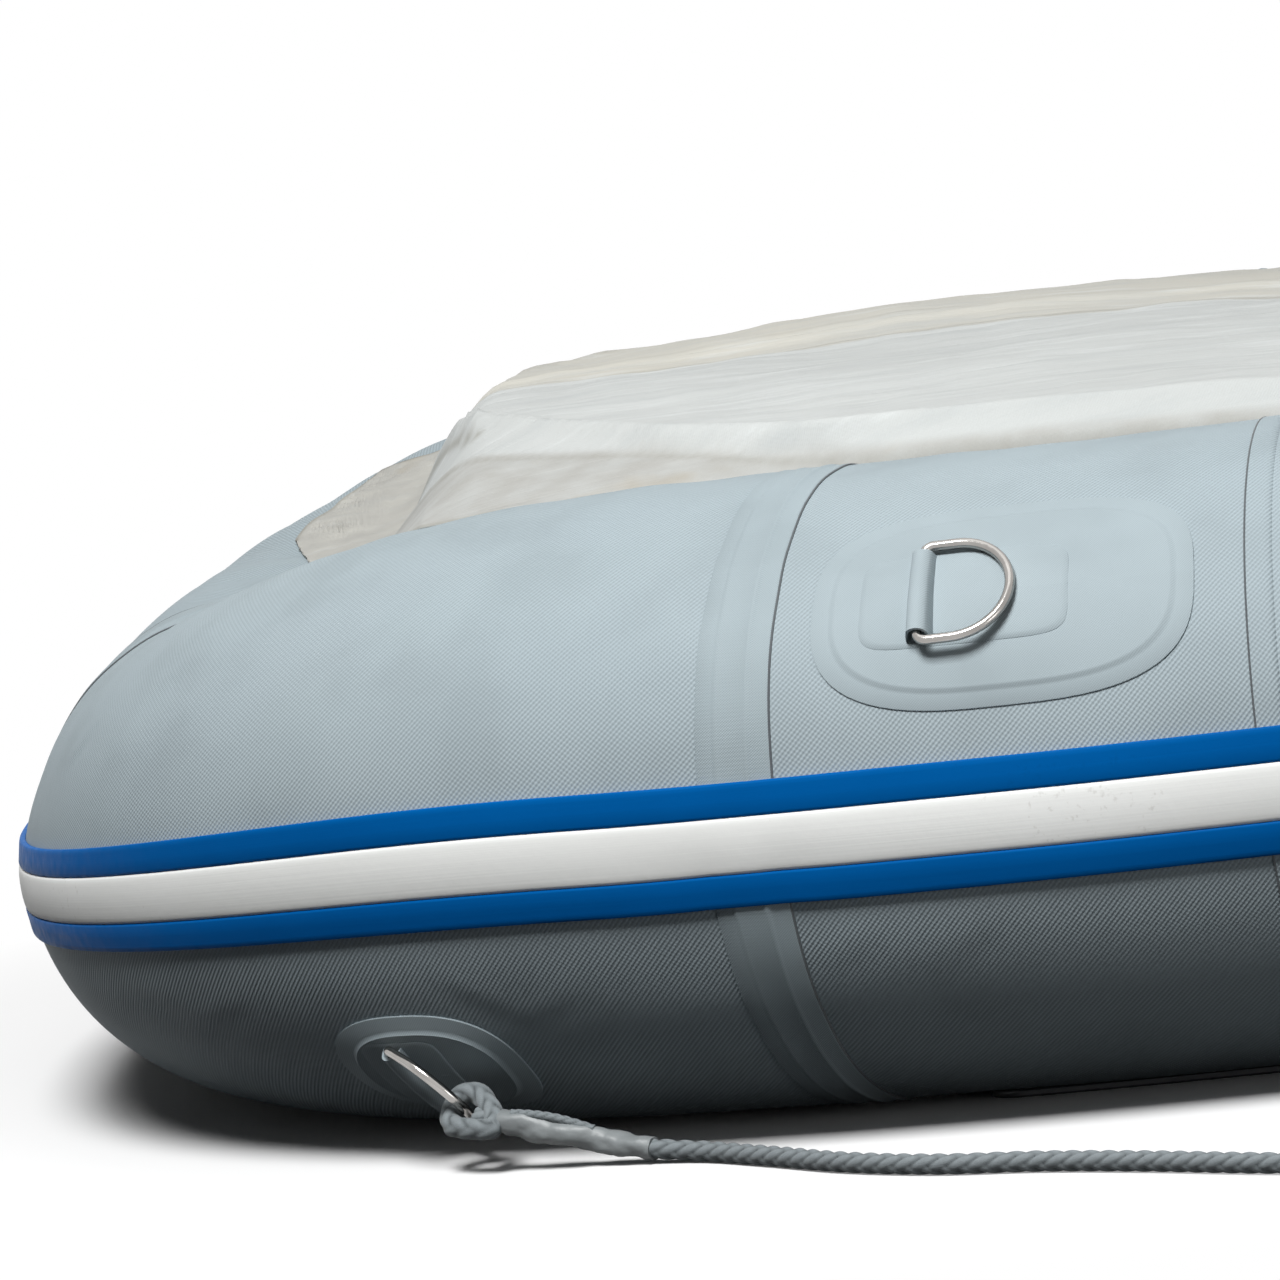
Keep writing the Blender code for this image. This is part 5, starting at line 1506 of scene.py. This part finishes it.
def coverShape():
    # one sheet from hem to hem, with a mark on each vertex for sewn lines and painted shade by the folds, and for
    # the low band, which takes painted shade and stains
    aft = evenSteps(cover["fineEnd"], cover["aft"], 88)[1:]
    portHem = hemLine(1, evenSteps(cover["portNose"], cover["fineEnd"], 96) + aft)
    starboardHem = hemLine(-1, evenSteps(cover["starboardNose"], cover["fineEnd"], 96) + aft)
    portLine = [Vector((hem.x, hem.y)) for hem in portHem]
    starboardLine = [Vector((hem.x, -hem.y)) for hem in starboardHem]
    creaseLine = [Vector((bowX + x, y)) for x, y in cover["crease"]]
    marks = []

    def place(pair, lane):
        port, starboard = pair
        middle = (port.x + starboard.x) / 2
        hem = port if lane >= 0 else starboard
        x, y = middle + (hem.x - middle) * abs(lane), hem.y * abs(lane)
        line = portLine if y >= 0 else starboardLine
        here = Vector((x, abs(y)))
        inward = min((here - spot).length_squared for spot in line) ** 0.5
        base = starboard.z + (port.z - starboard.z) * (lane + 1) / 2
        ahead, reach = x - bowX, abs(hem.y)
        slope = slopeAt(ahead, y)
        foldAt = max(0.001, min(alongTable(cover["foldLine"], ahead), reach - cover["foldInset"]))
        edgeAt = min(alongTable(cover["edgeLine"], ahead), foldAt - 0.012, reach - cover["edgeInset"])
        edgeAt = max(0.0005, edgeAt)
        z = base + (deckLevel(ahead, y, reach, slope) - base) * wallShare(abs(y), reach, foldAt, edgeAt)
        fold, edge = inward + (abs(y) - foldAt) * 0.8, inward + (abs(y) - edgeAt) * 0.8
        deck = smoothStep((inward - edge) / 0.02)
        flat = deck * (1 - slope)
        # slack cloth: long soft waves down the deck and finer creases where it turns down in front
        z += cover["wave"] * noiseAt(x * 5, y * 15, 2.0) * flat
        z += cover["ripple"] * noiseAt(x * 16 + y * 22, y * 46, 6.0) * flat
        z += cover["frontWave"] * noiseAt(x * 34, y * 11, 8.0) * nearby(slope - 0.4, 0.4) * deck
        # fold on the far panel, lap of the centre seam
        drift = lane + 0.012 * noiseAt(x * 3, 0, 4)
        farFold = cover["farFold"] * nearby(drift + 0.138, 0.016) * flat
        z += farFold - cover["farFoldDip"] * nearby(drift + 0.165, 0.012) * flat
        z += cover["lap"] * (smoothStep((lane + 0.037) / 0.004) - smoothStep(lane / 0.004)) * deck
        # rolled hem, ridge of the sewn fold and rim of the deck's edge
        z += cover["hemRoll"] * nearby(inward - 0.004, 0.004)
        z += cover["foldRidge"] * nearby(inward - fold, 0.0045)
        z += cover["edgeRim"] * nearby(inward - edge - 0.002, 0.006)
        # crease where the side panel meets the front panel
        off = offLine(creaseLine, Vector((x, y))) if slope > 0 and y > -0.04 else 1.0
        z += cover["creaseRidge"] * nearby(off, 0.009)
        z += cover["unevenness"] * noiseAt(x * 12, y * 12, 5.0) * smoothStep(inward / 0.02)
        if inward > 0.0015:
            z = max(z, tubeCrest(x, y) + cover["overTube"])
        # dark lines, some sewn seams and some painted shade (below the fold's ridge and in the far fold's hollow):
        # strength, how far off, width and where they show
        lines = (
            (0.4, inward - fold + 0.006, 0.003, 1),
            (0.8, off - 0.011, 0.003, 1),
            (0.8, lane + 0.04, 0.004, deck),
            (0.6, drift + 0.165, 0.008, flat),
            (0.25, drift + 0.2, 0.006, flat),
            (0.7, inward - 0.0015, 0.0016, 1),
        )
        seamAndFoldShade = max(strength * nearby(far, width) * share for strength, far, width, share in lines)
        # the second mark is the wall below the fold, painted darker as shade, where the stains also go
        marks.append((seamAndFoldShade, 1 - smoothStep((foldAt + 0.004 - abs(y)) / 0.012)))
        return Vector((x, y, z))

    shape = gridFrom(list(zip(portHem, starboardHem)), coverLanes(), place)
    # fold holds the sewn seams and the painted shade by the folds; low holds the wall's band of painted shade and
    # stains
    fold = shape.verts.layers.float.new("fold")
    low = shape.verts.layers.float.new("low")
    for vert, (seamAndFoldShade, lowBand) in zip(shape.verts, marks):
        vert[fold], vert[low] = seamAndFoldShade, lowBand
    return shape


def makeCover():
    shape = coverShape()
    keepFlatMap(shape)
    clothArea = sum(face.calc_area() for face in shape.faces)
    for face in shape.faces:
        if face.normal.z < 0:
            face.normal_flip()
    piece = addPiece("cover_sheet", shape, coverMaterial, sharpAngle=60, turnOut=False)
    thickness = piece.modifiers.new("cloth", "SOLIDIFY")
    thickness.thickness = cover["thickness"]
    thickness.offset = 1
    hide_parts("bow_cover")
    print("cover made, square metres:", round(clothArea, 3))


makeCover()

# floor: bottom cloth and the air floor on it; a ring is the inset from the tube's centreline, the extra
# setback at the stern and the height
floor = {
    "skinAft": bowX - 0.96 - 0.0125,
    "skinStart": 0.05,
    "skinRings": [(0.4, 0.3, 0.0124), (0.065, 0.0, 0.0124), (0.062, 0.0, 0.0139), (0.4, 0.3, 0.0139)],
    "panelAft": bowX - 0.96 + 0.0125,
    "panelStart": 0.2,
    "base": 0.0157,
    "top": 0.0757,
}


def panelRings():
    base, top = floor["base"], floor["top"]
    steps = [(0.42, 0.3, base), (0.168, 0.035, base), (0.152, 0.026, base + 0.002)]
    for turn in evenSteps(0.35, math.pi - 0.35, 7):
        bulge = math.sin(turn)
        height = base + 0.006 + (top - base - 0.012) * turn / math.pi
        steps.append((0.152 - 0.014 * bulge, 0.026 - 0.008 * bulge, height))
    steps += [(0.156, 0.028, top - 0.003), (0.163, 0.032, top - 0.0006)]
    for inset, setback in ((0.172, 0.04), (0.2, 0.07), (0.26, 0.14), (0.34, 0.22), (0.42, 0.3)):
        steps.append((inset, setback, top))
    return steps


def insideOutline(inset, start, aftX, count=160):
    half = []
    for step in range(count + 1):
        at = start + (coneStart - start) * step / count
        centre, outboard, radius = tubePlace(at)
        point = centre - outboard * inset * radius / tubeRadius
        if point.x > aftX and point.y > 0:
            half.append(Vector((point.x, point.y, 0)))
    half.append(Vector((aftX, half[-1].y, 0)))
    return half


def outlineLoft(name, steps, start, aftX, node, count=120):
    lines = {}
    for inset, setback, height in steps:
        half = insideOutline(inset, start, aftX + setback)
        around = [Vector((half[0].x, 0, 0))] + half + [Vector((half[-1].x, 0, 0))]
        portSide = evenPoints(around, count // 2)
        starboardSide = [Vector((point.x, -point.y, 0)) for point in reversed(portSide[1:-1])]
        lines[(inset, setback, height)] = portSide + starboardSide

    def place(ring, turn):
        spot = lines[ring][round(turn / (2 * math.pi) * count) % count]
        return Vector((spot.x, spot.y, ring[2]))

    shape = ringLoft(count, steps, place)
    keepFlatMap(shape)
    piece = addPiece(name, shape, floorFabric, sharpAngle=50)
    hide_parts(node)


outlineLoft("bottom_cloth", floor["skinRings"], floor["skinStart"], floor["skinAft"], "floor_skin")
outlineLoft("air_floor_panel", panelRings(), floor["panelStart"], floor["panelAft"], "air_floor")
print("floor made")

# finishes of the pieces that stay as the frame has them
finishes = {
    "board": boardMaterial,
    "rubber": blackRubber,
    "grey_plastic": greyPlastic,
    "black_plastic": blackPlastic,
    "aluminium": aluminium,
    "steel": steelMaterial,
    "tube_fabric": tubeFabric,
    "tape_fabric": tapeFabric,
}
slotOf = {row["node"]: row["material_slot"] for row in frame["record"]["subparts"]}
for name, piece in cadNodes.items():
    if slotOf.get(name) in finishes and not piece.hide_render:
        if not piece.material_slots:
            piece.data.materials.append(finishes[slotOf[name]])
        for spot in piece.material_slots:
            spot.material = finishes[slotOf[name]]
print("frame pieces finished")

# ground, lights and world; a light is its place, what it points at, its size and its watts
studio = {
    "ground": (0.95, 0.95, 0.95),
    "groundBounce": (0.02, 0.021, 0.023),
    "groundSize": 30,
    "ambient": 0.022,
    "shadowReach": 0.98,
    "fadeWidth": 0.36,
    "lights": {
        "keyLight": ((1.6, 3.0, 4.6), (0.75, 0.5, 0.2), 1.9, 335),
        "lowLight": ((-1.5, 3.3, 0.55), (0.3, 0.6, 0.1), 1.2, 15),
        "overheadLight": ((0.3, 0.2, 4.6), (0.4, 0.2, 0.2), 3.2, 26),
    },
}


def cameraShare(tree):
    path = putNode(tree, "ShaderNodeLightPath")
    seen = mathNode(tree, "MAXIMUM", path.outputs["Is Camera Ray"], path.outputs["Is Glossy Ray"])
    return mathNode(tree, "MAXIMUM", seen, path.outputs["Is Transmission Ray"])


def groundMaterial():
    # white all round; near the boat the ground is lit, so that it holds the shadow
    material, tree, shader = startMaterial("studioFloor", {"Roughness": 0.9, "Specular IOR Level": 0.1})
    seen = cameraShare(tree)
    tone = blendColours(tree, seen, studio["groundBounce"], studio["ground"])
    tree.links.new(tone, shader.inputs["Base Color"])
    where = putNode(tree, "ShaderNodeSeparateXYZ", {0: objectCoordinates(tree)})
    alongShare = mathNode(tree, "MULTIPLY", where.outputs[0], 0.6)
    apart = putNode(tree, "ShaderNodeCombineXYZ", {0: alongShare, 1: where.outputs[1]}).outputs[0]
    distance = putNode(tree, "ShaderNodeVectorMath", {0: apart}, operation="LENGTH").outputs["Value"]
    reach, halfFade = studio["shadowReach"], studio["fadeWidth"] / 2
    fade = spread(tree, distance, 0.0, 1.0, reach - halfFade, reach + halfFade)
    fade = mathNode(tree, "MULTIPLY", fade, seen)
    white = putNode(tree, "ShaderNodeEmission", {"Color": (1, 1, 1, 1), "Strength": 1.0})
    both = putNode(tree, "ShaderNodeMixShader", {0: fade, 1: shader.outputs[0], 2: white.outputs[0]})
    tree.links.new(both.outputs[0], tree.nodes["Material Output"].inputs[0])
    return material


def makeStudio():
    shape = bmesh.new()
    bmesh.ops.create_grid(shape, x_segments=1, y_segments=1, size=studio["groundSize"])
    data = bpy.data.meshes.new("studioFloor")
    shape.to_mesh(data)
    shape.free()
    ground = bpy.data.objects.new("studioFloor", data)
    bpy.context.scene.collection.objects.link(ground)
    data.materials.append(groundMaterial())

    world = bpy.data.worlds.new("studio")
    world.use_nodes = True
    bpy.context.scene.world = world
    tree = world.node_tree
    tone = blendColours(tree, cameraShare(tree), (studio["ambient"],) * 3, (1.0, 1.0, 1.0))
    tree.links.new(tone, tree.nodes["Background"].inputs[0])

    for name, (place, target, size, energy) in studio["lights"].items():
        lamp = bpy.data.lights.new(name, "AREA")
        lamp.shape = "SQUARE"
        lamp.size = size
        lamp.energy = energy
        made = bpy.data.objects.new(name, lamp)
        bpy.context.scene.collection.objects.link(made)
        made.location = place
        made.rotation_euler = (Vector(target) - Vector(place)).to_track_quat("-Z", "Y").to_euler()
    bpy.context.scene.view_settings.view_transform = "Standard"


makeStudio()
print("studio made")
